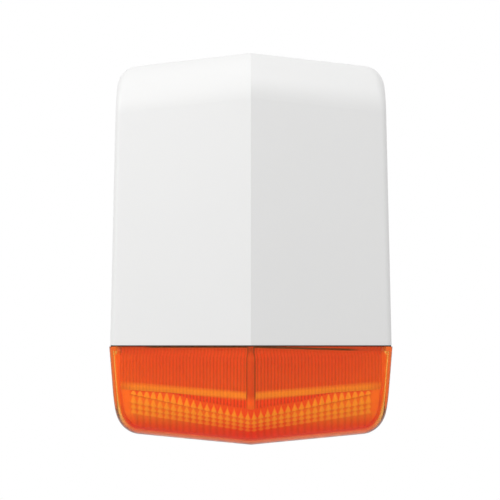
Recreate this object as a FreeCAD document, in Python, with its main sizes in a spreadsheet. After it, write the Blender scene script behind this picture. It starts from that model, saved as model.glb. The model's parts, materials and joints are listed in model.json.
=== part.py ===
"""Outdoor alarm siren: a white wall housing with a sharp front ridge, an amber strobe lens below
it, and the works on a backplate behind.  Millimetres.  +Z is up, the front faces -Y, and the wall
is the plane Y = 0.  The origin is on the wall, at the middle of the housing's width and height."""
import FreeCAD, Part
import Sketcher
import math
import os
import re
from FreeCAD import Vector

doc = FreeCAD.newDocument("alarm_siren")

# ---------------------------------------------------------------- driving dimensions
SIZES = {
    # housing outline
    "cover_height": 197.5,        # roof apex to seam
    "lens_height": 66.5,          # seam to keel apex
    "overall_height": "=cover_height+lens_height",
    "seam_width": 189,            # cover width where it meets the lens
    "top_width": 181,             # cover width at the roof
    "ridge_depth": 80,            # wall to the sharp front ridge
    "vee_angle": 16.5,            # how far each front face falls back from the ridge, degrees
    "roof_pitch": 4.3,            # fall of the roof from the middle to the sides, degrees
    "keel_pitch": 4.7,            # rise of the lens floor from the middle to the sides, degrees
    "roof_radius": 35,            # roof into front faces
    "shoulder_radius": 14.5,      # roof into sides
    "edge_radius": 5,             # front faces into sides
    "cover_wall": 2.5,
    "rear_gap": 1.5,              # cover and lens stop this far from the wall
    # lens
    "lens_proud": 0.6,            # lens stands out past the cover, each side
    "lens_taper": 5,              # lens narrows by this much, each side, to its floor
    "chin_radius": 30,            # lens floor into front faces
    "bottom_radius": 17,          # lens floor into sides
    "lens_wall": 2.5,
    "gasket_thickness": 0.8,
    "gasket_inset": 0.5,
    "lip_height": 8,              # lens lip inside the cover
    "lip_wall": 1.5,
    "lip_gap": 0.3,
    "lip_root": 3,
    "tab_thickness": 4,
    "sound_slot_width": 5,
    "sound_slot_length": 22,
    "sound_slot_depth": 14,       # wall to the near end of the floor slots
    "sound_slot_pitch": 11,
    "rim_slot_pitch": 15.4,
    "side_margin": 20,            # cutting blocks are this much wider than the housing
    # fasteners
    "screw_radius": 1.45,         # M3 thread-forming screws
    "pilot_radius": 1.5,
    "pass_radius": 1.75,          # clearance holes for those screws
    "head_radius": 2.8,
    "head_height": 2,
    "recess_width": 0.8,
    "recess_depth": 1.1,
    # lens screws and their bosses
    "cover_boss_radius": 3.5,
    "cover_boss_height": 18,
    "front_boss_across": 60,      # ridge line to a front boss
    "front_boss_back": 7.1,       # inner front face to a front boss
    "side_boss_inset": 10.5,      # housing side to a side boss
    "side_boss_depth": 20,
    "boss_web": 2.4,
    "lens_screw_length": 15,
    # backplate
    "plate_thickness": 3,
    "plate_side_gap": 5.5,        # plate edge inside the cover's outer face
    "plate_top_gap": 19.5,        # roof apex to plate top
    "plate_bottom_gap": 16,       # keel apex to plate bottom
    "plate_cut_height": 12,       # lower corners of the plate are cut off
    "plate_cut_width": 9,
    "rim_depth": 10,
    "rim_wall": 2,
    "standoff_radius": 3.2,
    "wall_hole_radius": 2.6,
    "wall_hole_across": 158,      # wall screw pattern
    "wall_hole_down": 168,
    "wall_hole_offset": -14,      # pattern centre above the origin
    "cable_hole_radius": 6,
    "cable_hole_rise": 17.5,      # seam to the cable entry
    "cable_hole_across": -0.5,
    # hinge
    "hinge_depth": 10,
    "hinge_drop": 8.5,            # roof apex to hinge axis
    "hinge_across": 30,           # middle to a hinge lug
    "lug_thickness": 4,
    "lug_radius": 3,
    "stem_foot": 4,               # lug below the plate's top edge
    "pin_radius": 1.75,
    "pin_gap": 0.1,
    "pin_reach": 9,               # pin beyond the lug
    "hook_wall": 2,
    "hook_width": 6,
    "hook_space": 1,              # lug to hook
    "roof_cut_depth": 6,          # roof's rear edge at the hinge
    "roof_cut_half": 76,
    # lock
    "lock_depth": 9,
    "lock_screw_radius": 2,
    "lock_screw_length": 15,
    "lock_head_radius": 4,
    "lock_head_height": 2.4,
    "lock_gap": 0.4,
    "lock_recess_gap": 0.3,
    "insert_radius": 3.2,
    "insert_length": 10,
    "fit_gap": 0.05,
    "pass_gap": 0.3,              # around a plunger or terminal that passes through a wall
    "ear_half": 8,
    "ear_deep": 17,
    "ear_rise": 7,
    "ear_web": 3,
    "lug_half": 7,
    "lug_deep": 15,
    "lug_space": 0.6,             # lock lug above the ear
    "lug_high": 14,
    # battery
    "cell_radius": 17.1,          # D cells
    "cell_body": 60,
    "nipple_radius": 4.7,
    "nipple_height": 1.5,
    "spring_length": 5,
    "cell_gap": 0.8,              # between neighbouring cells
    "tray_drop": 28.5,            # roof apex to the upper contact plates
    "tray_wall": 2,
    "tray_floor": 1.5,
    "tray_rise": 24,              # wall to the tray's rim
    "cell_space": 0.3,
    "contact_thickness": 0.4,
    "contact_width": 14,
    "divider_width": 5,
    "divider_height": 4.5,
    "tray_ear_reach": 6,          # tray side to an ear's screw
    "tray_ear_radius": 3.6,
    "tray_ear_web": 5,
    "tray_ear_end": 12,           # end of the cells to an ear's screw
    "spring_wide": 0.42,          # spring's ends, as shares of a cell's radius
    "spring_slim": 0.24,
    "spring_wire": 1,
    "thumb_radius": 8,            # notch in the tray's upper wall over each cell
    "terminal_radius": 1.2,
    "terminal_reach": 4,
    "terminal_arm": 8,
    # main board
    "board_width": 72,
    "board_height": 84,
    "board_thickness": 1.6,
    "board_side": 80,             # middle to the board's outer edge
    "board_rise": 7.5,            # seam to the board's lower edge
    "board_standoff": 6,
    "board_hole_inset": 4,
    # siren
    "siren_across": 40,
    "siren_rise": 48.5,           # seam to the sounder's axis
    "siren_flange_radius": 36,
    "siren_flange_back": 20,      # wall to the flange
    "siren_flange_thickness": 2.5,
    "siren_ear_offset": 28,
    "siren_ear_radius": 4.5,
    "horn_throat": 8,
    "horn_mouth": 32.5,
    "horn_wall": 2,
    "horn_length": 18,
    "driver_radius": 30,
    "driver_back": 6,
    "driver_ledge": 14,
    "driver_wall": 2,
    "diaphragm_thickness": 0.6,
    "driver_ledge_width": 3,
    "disc_gap": 0.2,
    "disc_patch": 0.6,            # raised centre of the diaphragm, as a share of the driver
    "disc_patch_rise": 0.3,
    "siren_gasket_width": 4,
    "terminal_block_reach": 1,
    "terminal_block_back": 4,
    "terminal_block_drop": 10,
    "terminal_block_wide": 4,
    "terminal_block_deep": 8,
    "terminal_block_high": 12,
    "siren_lead_drop": 6.5,
    "grille_thickness": 1.5,
    "grille_slot": 3,
    "grille_pitch": 6.3,
    "grille_rim": 2,
    "siren_screw_length": 12,
    # strobe
    "strobe_width": 150,
    "strobe_tall": 34,
    "strobe_drop": 7.5,           # seam to the strobe board's upper edge
    "strobe_back": 12,
    "reflector_depth": 16.4,
    "cup_mouth": 13,
    "cup_throat": 4,
    "cup_pitch": 30,
    "strobe_screw_across": 71.5,
    "strobe_screw_offset": 13.5,
    "strobe_screw_end": 5,        # wall to the screws' tips
    "light_side": 5,
    "light_height": 1.6,
    "light_dome_radius": 2.1,
    "light_dome_height": 0.8,
    # tamper switches
    "tamper_across": 66,
    "tamper_rise": 24,            # seam to the cover tamper
    "tamper_plunger_radius": 1.5,
    "tamper_housing": 7,
    "tamper_tip_depth": 30,
    "tamper_tip_gap": 0.3,
    "tamper_boss_radius": 3,
    "wall_plunger_radius": 2,
    "wall_tamper_across": -2,
    "wall_tamper_rise": 75.5,
    # leads
    "tamper_deep": 8,
    "tamper_foot": 4,             # board to the plunger's inner end
    "collar_back": 4,             # plunger tip to the back of its collar
    "collar_reach": 1.3,
    "collar_thickness": 1.2,
    "tamper_spring_gap": 0.4,
    "tamper_spring_wire": 0.6,
    "wall_tamper_side": 8,
    "wall_tamper_deep": 10,
    "wall_tamper_high": 14,
    "wall_plunger_length": 11,
    "slide_gap": 0.1,             # around every moving knob, lever and plunger
    # parts on the main board: place from its lower left corner, then size
    "radio_across": 9,
    "radio_up": 46,
    "radio_width": 20,
    "radio_height": 14,
    "radio_deep": 3.2,
    "antenna_across": 4,
    "antenna_up": 42,
    "antenna_radius": 2.2,
    "antenna_length": 28,
    "chip_across": 38,
    "chip_up": 44,
    "chip_side": 12,
    "chip_deep": 1.6,
    "chip_pin_length": 1.5,
    "chip_pin_width": 0.7,
    "chip_pin_height": 0.5,
    "chip_pin_pitch": 1.9,
    "chip_pin_inset": 0.9,
    "capacitor_across": 44,
    "capacitor_up": 22,
    "capacitor_pitch": 12,
    "capacitor_radius": 5,
    "capacitor_length": 14,
    "status_across": 50,
    "status_up": 74,
    "status_radius": 1.5,
    "status_height": 3,
    "plug_width": 8,
    "plug_height": 7,
    "plug_deep": 6,
    "plug_row": 60,
    "red_plug_across": 23.5,
    "black_plug_across": 54,
    "siren_plug_across": 64,
    "siren_plug_up": 29,
    "siren_plug_width": 7,
    "siren_plug_height": 9,
    "strobe_plug_across": 31,
    "strobe_plug_up": 6,
    "strobe_plug_deep": 5,
    "dip_across": 18,
    "dip_up": 22,
    "dip_width": 12.2,
    "dip_height": 8,
    "dip_deep": 5,
    "dip_pitch": 2.6,
    "dip_slot_width": 1.6,
    "dip_slot_height": 4,
    "dip_slot_inset": 2,
    "dip_lever_width": 1.4,
    "dip_lever_height": 2,
    "dip_lever_deep": 3.5,
    "dip_lever_rest": 0.2,        # lever above the slot's lower end
    "slot_floor": 2,              # board to the floor of a switch's slot
    "power_across": 56,
    "power_up": 38.5,
    "power_width": 13,
    "power_height": 6.5,
    "power_deep": 5,
    "power_slot_across": 2.5,
    "power_slot_up": 1.7,
    "power_slot_width": 8,
    "power_slot_height": 3.1,
    "knob_width": 3.6,
    "knob_deep": 6,
    "knob_rest": 0.2,             # knob to the slot's left end
    "learn_across": 38,
    "learn_up": 72,
    "learn_side": 6,
    "learn_deep": 3.6,
    "learn_cap_radius": 1.75,
    "learn_cap_back": 2.2,
    "learn_cap_length": 3,
    "learn_floor": 1.4,
    # leads
    "lead_radius": 0.8,
    "lead_spacing": 3,
    "lead_rise": 3.4,             # board to a lead's axis
    "lead_straight": 6,           # square run out of a plug or a contact
    "black_lead_run": 26,
    "black_lead_drop": 11,
    "black_lead_step": 2.5,
    "strobe_lead_drop": 7,
}

sheet = doc.addObject("Spreadsheet::Sheet", "Sizes")
for row, (alias, value) in enumerate(SIZES.items(), start=1):
    sheet.set(f"A{row}", alias.replace("_", " "))
    sheet.set(f"B{row}", str(value))
    sheet.setAlias(f"B{row}", alias)
doc.recompute()

# Places that many pieces share, as expressions of the sizes above.  A piece that cuts another
# runs 1 mm past the face it cuts, at each end.
TOP = "(overall_height/2)"
BOTTOM = "(-overall_height/2)"
SEAM = "(lens_height-overall_height/2)"
SEAM_HALF = "(seam_width/2)"
TOP_HALF = "(top_width/2)"
LENS_TOP = f"({SEAM}-gasket_thickness)"
LENS_HALF = f"({SEAM_HALF}+lens_proud)"
HINGE_Z = f"({TOP}-hinge_drop)"
BOARD_BACK = "(plate_thickness+board_standoff)"
BOARD_FRONT = f"({BOARD_BACK}+board_thickness)"
BOARD_LEFT = "(-board_side)"
BOARD_LOW = f"({SEAM}+board_rise)"
SIREN_Z = f"({SEAM}+siren_rise)"
STROBE_TOP = f"({SEAM}-strobe_drop)"
STROBE_Z = f"({STROBE_TOP}-strobe_tall/2)"
STROBE_FRONT = "(strobe_back+board_thickness)"
TRAY_TOP = f"({TOP}-tray_drop)"
TRAY_LENGTH = "(nipple_height+cell_body+spring_length)"
TRAY_LOW = f"({TRAY_TOP}-{TRAY_LENGTH})"
CELL_PITCH = "(2*cell_radius+cell_gap)"
TRAY_HALF = f"(2*{CELL_PITCH}+tray_wall)"
CELL_DEPTH = "(plate_thickness+tray_floor+cell_space+cell_radius)"
TAMPER_Z = f"({SEAM}+tamper_rise)"
WALL_TAMPER_Z = f"({SEAM}+wall_tamper_rise)"
LUG_LOW = f"({BOTTOM}+ear_rise+lug_space)"

WORD = re.compile(r"[A-Za-z_]+")
nodes = []


def bind(item, path, text):
    """Tie one property of an item to an expression of the driving dimensions."""
    def swap(match):
        word = match.group(0)
        return f"Sizes.{word}" if word in SIZES else word
    item.setExpression(path, WORD.sub(swap, str(text)))


def value(text):
    """The number that an expression of the driving dimensions has now."""
    def swap(match):
        word = match.group(0)
        return f"Sizes.{word}" if word in SIZES else word
    found = sheet.evalExpression(WORD.sub(swap, str(text)))
    return float(getattr(found, "Value", found))


def named(item, label):
    """Mark an item as a finished piece of the siren."""
    item.Label = label
    nodes.append(item)
    return item


def place(item, across, depth, up):
    """Put an item's base point at a distance across, in front of the wall, and up."""
    bind(item, ".Placement.Base.x", across)
    bind(item, ".Placement.Base.y", f"-({depth})")
    bind(item, ".Placement.Base.z", up)
    return item


# ---------------------------------------------------------------- primitives
def box(name, left, back, low, wide, deep, high):
    """A block; left, back and low are its faces nearest the left, the wall and the ground."""
    item = doc.addObject("Part::Box", name)
    bind(item, "Length", wide)
    bind(item, "Width", deep)
    bind(item, "Height", high)
    return place(item, left, f"({back})+({deep})", low)


WAYS = {
    "up": FreeCAD.Rotation(),
    "front": FreeCAD.Rotation(Vector(1, 0, 0), 90),
    "right": FreeCAD.Rotation(Vector(0, 1, 0), 90),
}


def rod(name, across, depth, up, radius, length, way="front"):
    """A cylinder that starts at a point and runs one way."""
    item = doc.addObject("Part::Cylinder", name)
    item.Placement.Rotation = WAYS[way]
    bind(item, "Radius", radius)
    bind(item, "Height", length)
    return place(item, across, depth, up)


def taper(name, across, depth, up, near_radius, far_radius, length, way="front"):
    """A cone stump that starts at a point and runs one way."""
    item = doc.addObject("Part::Cone", name)
    item.Placement.Rotation = WAYS[way]
    bind(item, "Radius1", near_radius)
    bind(item, "Radius2", far_radius)
    bind(item, "Height", length)
    return place(item, across, depth, up)


def fuse(name, items):
    item = doc.addObject("Part::MultiFuse", name)
    item.Shapes = items
    item.Refine = True
    return item


def cut(name, base, tools):
    item = doc.addObject("Part::Cut", name)
    item.Base = base
    item.Tool = tools[0] if len(tools) == 1 else fuse(name + "_tools", tools)
    item.Refine = True
    return item


def common(name, first, second):
    item = doc.addObject("Part::Common", name)
    item.Base = first
    item.Tool = second
    return item


def group(name, items):
    item = doc.addObject("Part::Compound", name)
    item.Links = items
    return item


def tube(name, across, depth, up, radius, hole, length, way="front"):
    """A round pipe."""
    outer = rod(name + "_outer", across, depth, up, radius, length, way)
    inner = rod(name + "_hole", across, depth, up, hole, length, way)
    return cut(name, outer, [inner])


# ---------------------------------------------------------------- sketched bodies
def plane(body, role):
    return [item for item in body.Origin.OriginFeatures if item.Role == role][0]


def sketch(body, name, role, back="0"):
    """A sketch on one of the body's planes, moved along the plane's normal."""
    item = body.newObject("Sketcher::SketchObject", name)
    item.AttachmentSupport = [(plane(body, role), "")]
    item.MapMode = "FlatFace"
    bind(item, ".AttachmentOffset.Base.z", back)
    return item


def polygon(item, points):
    """A closed outline through points whose two places are expressions."""
    first = item.GeometryCount
    spots = [Vector(value(a), value(b), 0) for a, b in points]
    count = len(points)
    for step in range(count):
        line = Part.LineSegment(spots[step], spots[(step + 1) % count])
        item.addGeometry(line, False)
    for step in range(count):
        here = first + step
        after = first + (step + 1) % count
        item.addConstraint(Sketcher.Constraint("Coincident", here, 2, after, 1))
    for step, pair in enumerate(points):
        for axis, text, other in (("X", pair[0], -2), ("Y", pair[1], -1)):
            if text == "0":
                rule = Sketcher.Constraint("PointOnObject", first + step, 1, other)
                item.addConstraint(rule)
                continue
            rule = Sketcher.Constraint("Distance" + axis, first + step, 1, value(text))
            number = item.addConstraint(rule)
            bind(item, f"Constraints[{number}]", text)
    return item


def circle(item, across, up, radius):
    """A circle in a sketch, by expressions."""
    spot = Vector(value(across), value(up), 0)
    round_line = Part.Circle(spot, Vector(0, 0, 1), value(radius))
    here = item.addGeometry(round_line, False)
    rules = [("DistanceX", across), ("DistanceY", up)]
    for kind, text in rules:
        number = item.addConstraint(Sketcher.Constraint(kind, here, 3, value(text)))
        bind(item, f"Constraints[{number}]", text)
    number = item.addConstraint(Sketcher.Constraint("Radius", here, value(radius)))
    bind(item, f"Constraints[{number}]", radius)


def plate(name, points, back, thick, holes=()):
    """A flat plate parallel to the wall, with round holes."""
    body = doc.addObject("PartDesign::Body", name)
    outline = sketch(body, name + "_outline", "XZ_Plane", back)
    polygon(outline, points)
    for across, up, radius in holes:
        circle(outline, across, up, radius)
    pad = body.newObject("PartDesign::Pad", name + "_pad")
    pad.Profile = outline
    bind(pad, "Length", thick)
    return body


def turned(name, across, up, points):
    """A piece turned about an axis square to the wall; points are (radius, depth)."""
    body = doc.addObject("PartDesign::Body", name)
    outline = sketch(body, name + "_profile", "XY_Plane")
    polygon(outline, [(radius, depth if depth == "0" else f"-({depth})") for radius, depth in points])
    turn = body.newObject("PartDesign::Revolution", name + "_turn")
    turn.Profile = outline
    turn.ReferenceAxis = (outline, ["V_Axis"])
    turn.Angle = 360
    return place(body, across, "0", up)


def rectangle(left, low, wide, high):
    right = f"({left})+({wide})"
    top = f"({low})+({high})"
    return [(left, low), (right, low), (right, top), (left, top)]


# ---------------------------------------------------------------- fasteners
def screw(name, across, depth, up, way, length, radius="screw_radius", head="head_radius",
          high="head_height"):
    """A pan-head screw with a cross recess.  The point given is the seat of its head.
    It runs from there towards the wall, or up."""
    arm = f"1.3*({head})"
    slot = "recess_width"
    if way == "wall":
        shank = rod(name + "_shank", across, f"({depth})-({length})", up, radius, length, "front")
        cap = rod(name + "_head", across, depth, up, head, high, "front")
        back = f"({depth})+({high})-recess_depth"
        bars = [
            box(name + "_bar_a", f"({across})-({arm})/2", back, f"({up})-{slot}/2", arm, high, slot),
            box(name + "_bar_b", f"({across})-{slot}/2", back, f"({up})-({arm})/2", slot, high, arm),
        ]
    else:
        shank = rod(name + "_shank", across, depth, up, radius, length, "up")
        cap = rod(name + "_head", across, depth, f"({up})-({high})", head, high, "up")
        low = f"({up})-2*({high})+recess_depth"
        bars = [
            box(name + "_bar_a", f"({across})-({arm})/2", f"({depth})-{slot}/2", low, arm, slot, high),
            box(name + "_bar_b", f"({across})-{slot}/2", f"({depth})-({arm})/2", low, slot, arm, high),
        ]
    return cut(name, fuse(name + "_blank", [shank, cap]), bars)


def corners(across, up, half_across, half_up):
    """The four places of a rectangle of fasteners."""
    return [(f"{across}+({sx}*({half_across}))", f"{up}+({sz}*({half_up}))")
            for sx in (-1, 1) for sz in (-1, 1)]


# ---------------------------------------------------------------- housing form
def edge_number(shape, wanted):
    """The edge of a shape that a test picks, by its direction and its middle."""
    for number, edge in enumerate(shape.Edges, start=1):
        start, end = (vertex.Point for vertex in edge.Vertexes)
        way = (end - start).normalize()
        if wanted(way, (start + end) * 0.5):
            return number
    raise ValueError("no such edge")


def form(name, low, high, low_half, high_half, ridge, keel, roof, end_radius, side_radius,
         rounded_end, edge="edge_radius"):
    """The housing's solid form between two heights: two front faces that meet in a ridge, sides,
    and one rounded end, either a pitched roof or a keeled floor.  One half is made and mirrored,
    so the ridge stays sharp."""
    body = doc.addObject("PartDesign::Body", name + "_half")
    outline = sketch(body, name + "_front", "XZ_Plane")
    low_side = f"{low}+tan({keel})*{low_half}"
    high_side = f"{high}-tan({roof})*{high_half}"
    polygon(outline, [("0", low), (low_half, low_side), (high_half, high_side), ("0", high)])
    pad = body.newObject("PartDesign::Pad", name + "_pad")
    pad.Profile = outline
    bind(pad, "Length", ridge)
    doc.recompute()
    reach = f"(2*{low_half})"
    wedge = sketch(body, name + "_wedge", "XY_Plane")
    fall = f"tan(vee_angle)*{reach}-{ridge}"
    polygon(wedge, [("0", f"-{ridge}"), (reach, f"-{ridge}"), (reach, fall)])
    pocket = body.newObject("PartDesign::Pocket", name + "_vee")
    pocket.Profile = wedge
    pocket.Type = "ThroughAll"
    pocket.Midplane = True
    doc.recompute()
    upper = rounded_end == "roof"
    middle = value(f"({low}+{high})/2")

    def at_end(spot):
        return (spot.z > middle) == upper

    front_end = edge_number(body.Shape, lambda w, c: abs(w.x) > 0.8 and c.y < -1 and at_end(c))
    side_end = edge_number(body.Shape, lambda w, c: abs(w.y) > 0.9 and c.x > 1 and at_end(c))
    side_front = edge_number(body.Shape, lambda w, c: abs(w.z) > 0.8 and c.x > 1 and c.y < -1)
    rounded = doc.addObject("Part::Fillet", name + "_rounded")
    rounded.Base = body
    rounded.Edges = [
        (front_end, value(end_radius), value(end_radius)),
        (side_end, value(side_radius), value(side_radius)),
        (side_front, value(edge), value(edge)),
    ]
    other = doc.addObject("Part::Mirroring", name + "_other")
    other.Source = rounded
    other.Normal = Vector(1, 0, 0)
    return fuse(name, [rounded, other])


def band(name, low, high, half, ridge):
    """A straight-sided length of the housing's plan shape, with sharp corners."""
    body = doc.addObject("PartDesign::Body", name)
    outline = sketch(body, name + "_plan", "XY_Plane", low)
    side = f"tan(vee_angle)*{half}-{ridge}"
    polygon(outline, [(f"-{half}", "0"), (half, "0"), (half, side), ("0", f"-{ridge}"),
                      (f"-{half}", side)])
    pad = body.newObject("PartDesign::Pad", name + "_pad")
    pad.Profile = outline
    bind(pad, "Length", f"({high})-({low})")
    return body


def inner_ridge(inset):
    """Ridge depth of a form whose walls are set in by a distance."""
    return f"(ridge_depth-({inset})/cos(vee_angle))"


def boss_places():
    """Middles of the four lens screws: across and depth."""
    front = f"({inner_ridge('cover_wall')}-tan(vee_angle)*front_boss_across-front_boss_back)"
    side = f"({SEAM_HALF}-side_boss_inset)"
    return [("front_boss_across", front), ("(-front_boss_across)", front),
            (side, "side_boss_depth"), (f"(-{side})", "side_boss_depth")]


# ---------------------------------------------------------------- front cover
def build_front_cover():
    outer = form("cover_outer", SEAM, TOP, SEAM_HALF, TOP_HALF, "ridge_depth", "0", "roof_pitch",
                 "roof_radius", "shoulder_radius", "roof")
    inner = form("cover_inner", f"({SEAM}-cover_wall)", f"({TOP}-cover_wall)",
                 f"({SEAM_HALF}-cover_wall)", f"({TOP_HALF}-cover_wall)",
                 inner_ridge("cover_wall"), "0", "roof_pitch", "roof_radius-cover_wall",
                 "shoulder_radius-cover_wall", "roof", "edge_radius-cover_wall")
    shell = cut("cover_shell", outer, [inner])
    # screw bosses, tied to the nearest wall by a web
    boss_low = f"{SEAM}+lip_height"
    bosses = []
    for number, (across, depth) in enumerate(boss_places()):
        bosses.append(rod(f"cover_boss_{number}", across, depth, boss_low, "cover_boss_radius",
                          "cover_boss_height", "up"))
        if number < 2:
            web = box(f"cover_web_{number}", f"{across}-boss_web/2", depth, boss_low,
                      "boss_web", "front_boss_back+cover_wall", "cover_boss_height")
        else:
            left = across if number == 2 else f"(-{SEAM_HALF}+cover_wall/2)"
            web = box(f"cover_web_{number}", left, f"{depth}-boss_web/2", boss_low,
                      "side_boss_inset-cover_wall/2", "boss_web", "cover_boss_height")
        bosses.append(web)
    # post that presses the cover tamper
    post_back = "tamper_tip_depth+tamper_tip_gap"
    bosses.append(rod("cover_post", "(-tamper_across)", post_back, TAMPER_Z, "tamper_boss_radius",
                      f"ridge_depth-({post_back})"))
    # hinge hooks
    ring = "(pin_radius+pin_gap+hook_wall)"
    for side in (-1, 1):
        near = "hinge_across+lug_thickness/2+hook_space"
        left = near if side > 0 else f"-({near}+hook_width)"
        bosses.append(rod(f"hook_ring_{side}", left, "hinge_depth", HINGE_Z, ring, "hook_width",
                          "right"))
        bosses.append(box(f"hook_block_{side}", left, f"hinge_depth-{ring}", HINGE_Z, "hook_width",
                          f"2*{ring}", "hinge_drop"))
    inside = common("cover_inside", fuse("cover_bosses", bosses), outer)
    blank = fuse("cover_blank", [shell, inside])
    # what is taken away
    width = "(seam_width+side_margin)"
    gone = [box("cover_rear_cut", f"-{width}/2", "-1", f"{SEAM}-10", width, "rear_gap+1",
                "overall_height"),
            box("cover_roof_cut", "-roof_cut_half", "-1", f"{TOP}-plate_top_gap", "2*roof_cut_half",
                "roof_cut_depth+1", "plate_top_gap+1")]
    for number, (across, depth) in enumerate(boss_places()):
        gone.append(rod(f"cover_pilot_{number}", across, depth, f"{boss_low}-1", "pilot_radius",
                        "lens_screw_length", "up"))
    for side in (-1, 1):
        near = "hinge_across+lug_thickness/2+hook_space"
        left = near if side > 0 else f"-({near}+hook_width)"
        gone.append(rod(f"hook_hole_{side}", f"{left}-0.01", "hinge_depth", HINGE_Z,
                        "pin_radius+pin_gap", "hook_width+0.02", "right"))
        gone.append(box(f"hook_mouth_{side}", f"{left}-0.01", "hinge_depth-pin_radius-pin_gap",
                        f"{HINGE_Z}-2*hook_wall-2*pin_radius", "hook_width+0.02",
                        "2*(pin_radius+pin_gap)", "2*hook_wall+2*pin_radius"))
        gone.append(box(f"lug_notch_{side}", f"{side}*hinge_across-lug_thickness/2-hook_space", "0",
                        f"{HINGE_Z}-hinge_drop", "lug_thickness+2*hook_space", "hinge_depth",
                        "2*hinge_drop+1"))
    named(cut("front_cover_solid", blank, gone), "front_cover")


# ---------------------------------------------------------------- strobe lens
def build_strobe_lens():
    low_half = f"({LENS_HALF}-lens_taper)"
    outer = form("lens_outer", BOTTOM, LENS_TOP, low_half, LENS_HALF,
                 "(ridge_depth+lens_proud)", "keel_pitch", "0", "chin_radius", "bottom_radius",
                 "keel")
    inner = form("lens_inner", f"({BOTTOM}+lens_wall)", f"({LENS_TOP}+lens_wall)",
                 f"({low_half}-lens_wall)", f"({LENS_HALF}-lens_wall)",
                 "(ridge_depth+lens_proud-lens_wall/cos(vee_angle))", "keel_pitch", "0",
                 "chin_radius-lens_wall", "bottom_radius-lens_wall", "keel",
                 "edge_radius-lens_wall")
    shell = cut("lens_shell", outer, [inner])
    # inner lip that centres the lens in the cover
    lip_half = f"({SEAM_HALF}-cover_wall-lip_gap)"
    lip_rise = "(lip_height+gasket_thickness+lip_root)"
    narrowing = f"({SEAM_HALF}-{TOP_HALF})/(overall_height-lens_height)"
    lip_top_half = f"({lip_half}-{narrowing}*{lip_rise})"
    lip_ridge = inner_ridge("cover_wall+lip_gap")
    root_half = f"({SEAM_HALF}-cover_wall/2)"
    root = band("lip_root_block", f"({LENS_TOP}-lip_root)", LENS_TOP, root_half,
                inner_ridge("cover_wall/2"))
    rise = form("lip_block", f"({LENS_TOP}-lip_root)", f"({SEAM}+lip_height)", lip_half, lip_top_half,
                lip_ridge, "0", "0", "0.2", "0.2", "roof", "edge_radius-cover_wall")
    hollow = band("lip_hollow", f"({LENS_TOP}-lip_root-1)", f"({SEAM}+lip_height+1)",
                  f"({lip_half}-lip_wall)", inner_ridge("cover_wall+lip_gap+lip_wall"))
    lip = cut("lens_lip", fuse("lip_blank", [common("lip_root_clip", root, outer), rise]), [hollow])
    # tabs that the screws clamp
    tab_low = f"{SEAM}+lip_height-tab_thickness"
    tabs = []
    for number, (across, depth) in enumerate(boss_places()):
        reach = "2*(cover_boss_radius+1)"
        if number < 2:
            tab = box(f"lens_tab_{number}", f"{across}-{reach}/2", f"{depth}-{reach}/2", tab_low,
                      reach, f"{reach}/2+front_boss_back+cover_wall", "tab_thickness")
        else:
            left = f"{across}-{reach}/2" if number == 2 else f"-{SEAM_HALF}"
            tab = box(f"lens_tab_{number}", left, f"{depth}-{reach}/2", tab_low,
                      f"{reach}/2+side_boss_inset", reach, "tab_thickness")
        tabs.append(tab)
    tabs = common("lens_tabs", fuse("lens_tab_blanks", tabs), rise)
    # ear over the lock screw
    ear = box("lock_ear", "-ear_half", "rear_gap", BOTTOM, "2*ear_half", "ear_deep-rear_gap",
              "ear_rise")
    ear = common("lock_ear_clip", ear, outer)
    blank = fuse("lens_blank", [shell, lip, tabs, ear])
    width = "(seam_width+side_margin)"
    gone = [box("lens_rear_cut", f"-{width}/2", "-1", f"{BOTTOM}-10", width, "rear_gap+1",
                "lens_height+40")]
    for number, (across, depth) in enumerate(boss_places()):
        gone.append(rod(f"lens_tab_hole_{number}", across, depth, f"{tab_low}-1", "pass_radius",
                        "tab_thickness+2", "up"))
    # notch for the lock screw's shank, and the recess that hides its head, open to the rear
    head_space = "(lock_head_radius+lock_gap+lock_recess_gap)"
    recess_high = "ear_rise-ear_web"
    gone += [rod("lock_recess", "0", "lock_depth", f"{BOTTOM}-1", head_space, f"{recess_high}+1",
                 "up"),
             box("lock_recess_mouth", f"-{head_space}", "-1", f"{BOTTOM}-1", f"2*{head_space}",
                 "lock_depth+1", f"{recess_high}+1"),
             rod("lock_notch", "0", "lock_depth", f"{BOTTOM}-1", "lock_screw_radius+lock_gap",
                 "ear_rise+2", "up"),
             box("lock_notch_mouth", "-lock_screw_radius-lock_gap", "-1", f"{BOTTOM}-1",
                 "2*(lock_screw_radius+lock_gap)", "lock_depth+1", "ear_rise+2")]
    # slots that let the sound out and water drain
    for side in (-1, 1):
        for step in range(1, 6):
            middle = f"({side}*(ear_half+{step}*sound_slot_pitch-sound_slot_width))"
            gone.append(box(f"sound_slot_{side}_{step}", f"{middle}-sound_slot_width/2",
                            "sound_slot_depth", f"{BOTTOM}-1", "sound_slot_width",
                            "sound_slot_length", "plate_bottom_gap"))
    named(cut("strobe_lens_solid", blank, gone), "strobe_lens")


def build_lens_gasket():
    half = f"({SEAM_HALF}-gasket_inset)"
    ring = band("gasket_ring", LENS_TOP, SEAM, half, inner_ridge("gasket_inset"))
    hole = band("gasket_hole", f"({LENS_TOP}-1)", f"({SEAM}+1)", f"({SEAM_HALF}-cover_wall)",
                inner_ridge("cover_wall"))
    width = "(seam_width+side_margin)"
    rear = box("gasket_rear_cut", f"-{width}/2", "-1", f"{SEAM}-5", width, "rear_gap+1", "10")
    named(cut("lens_gasket_solid", ring, [hole, rear]), "lens_gasket")


def build_lens_screws():
    seat = f"{SEAM}+lip_height-tab_thickness"
    items = [screw(f"lens_screw_{number}", across, depth, seat, "up", "lens_screw_length")
             for number, (across, depth) in enumerate(boss_places())]
    named(group("lens_screws_group", items), "lens_screws")


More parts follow.
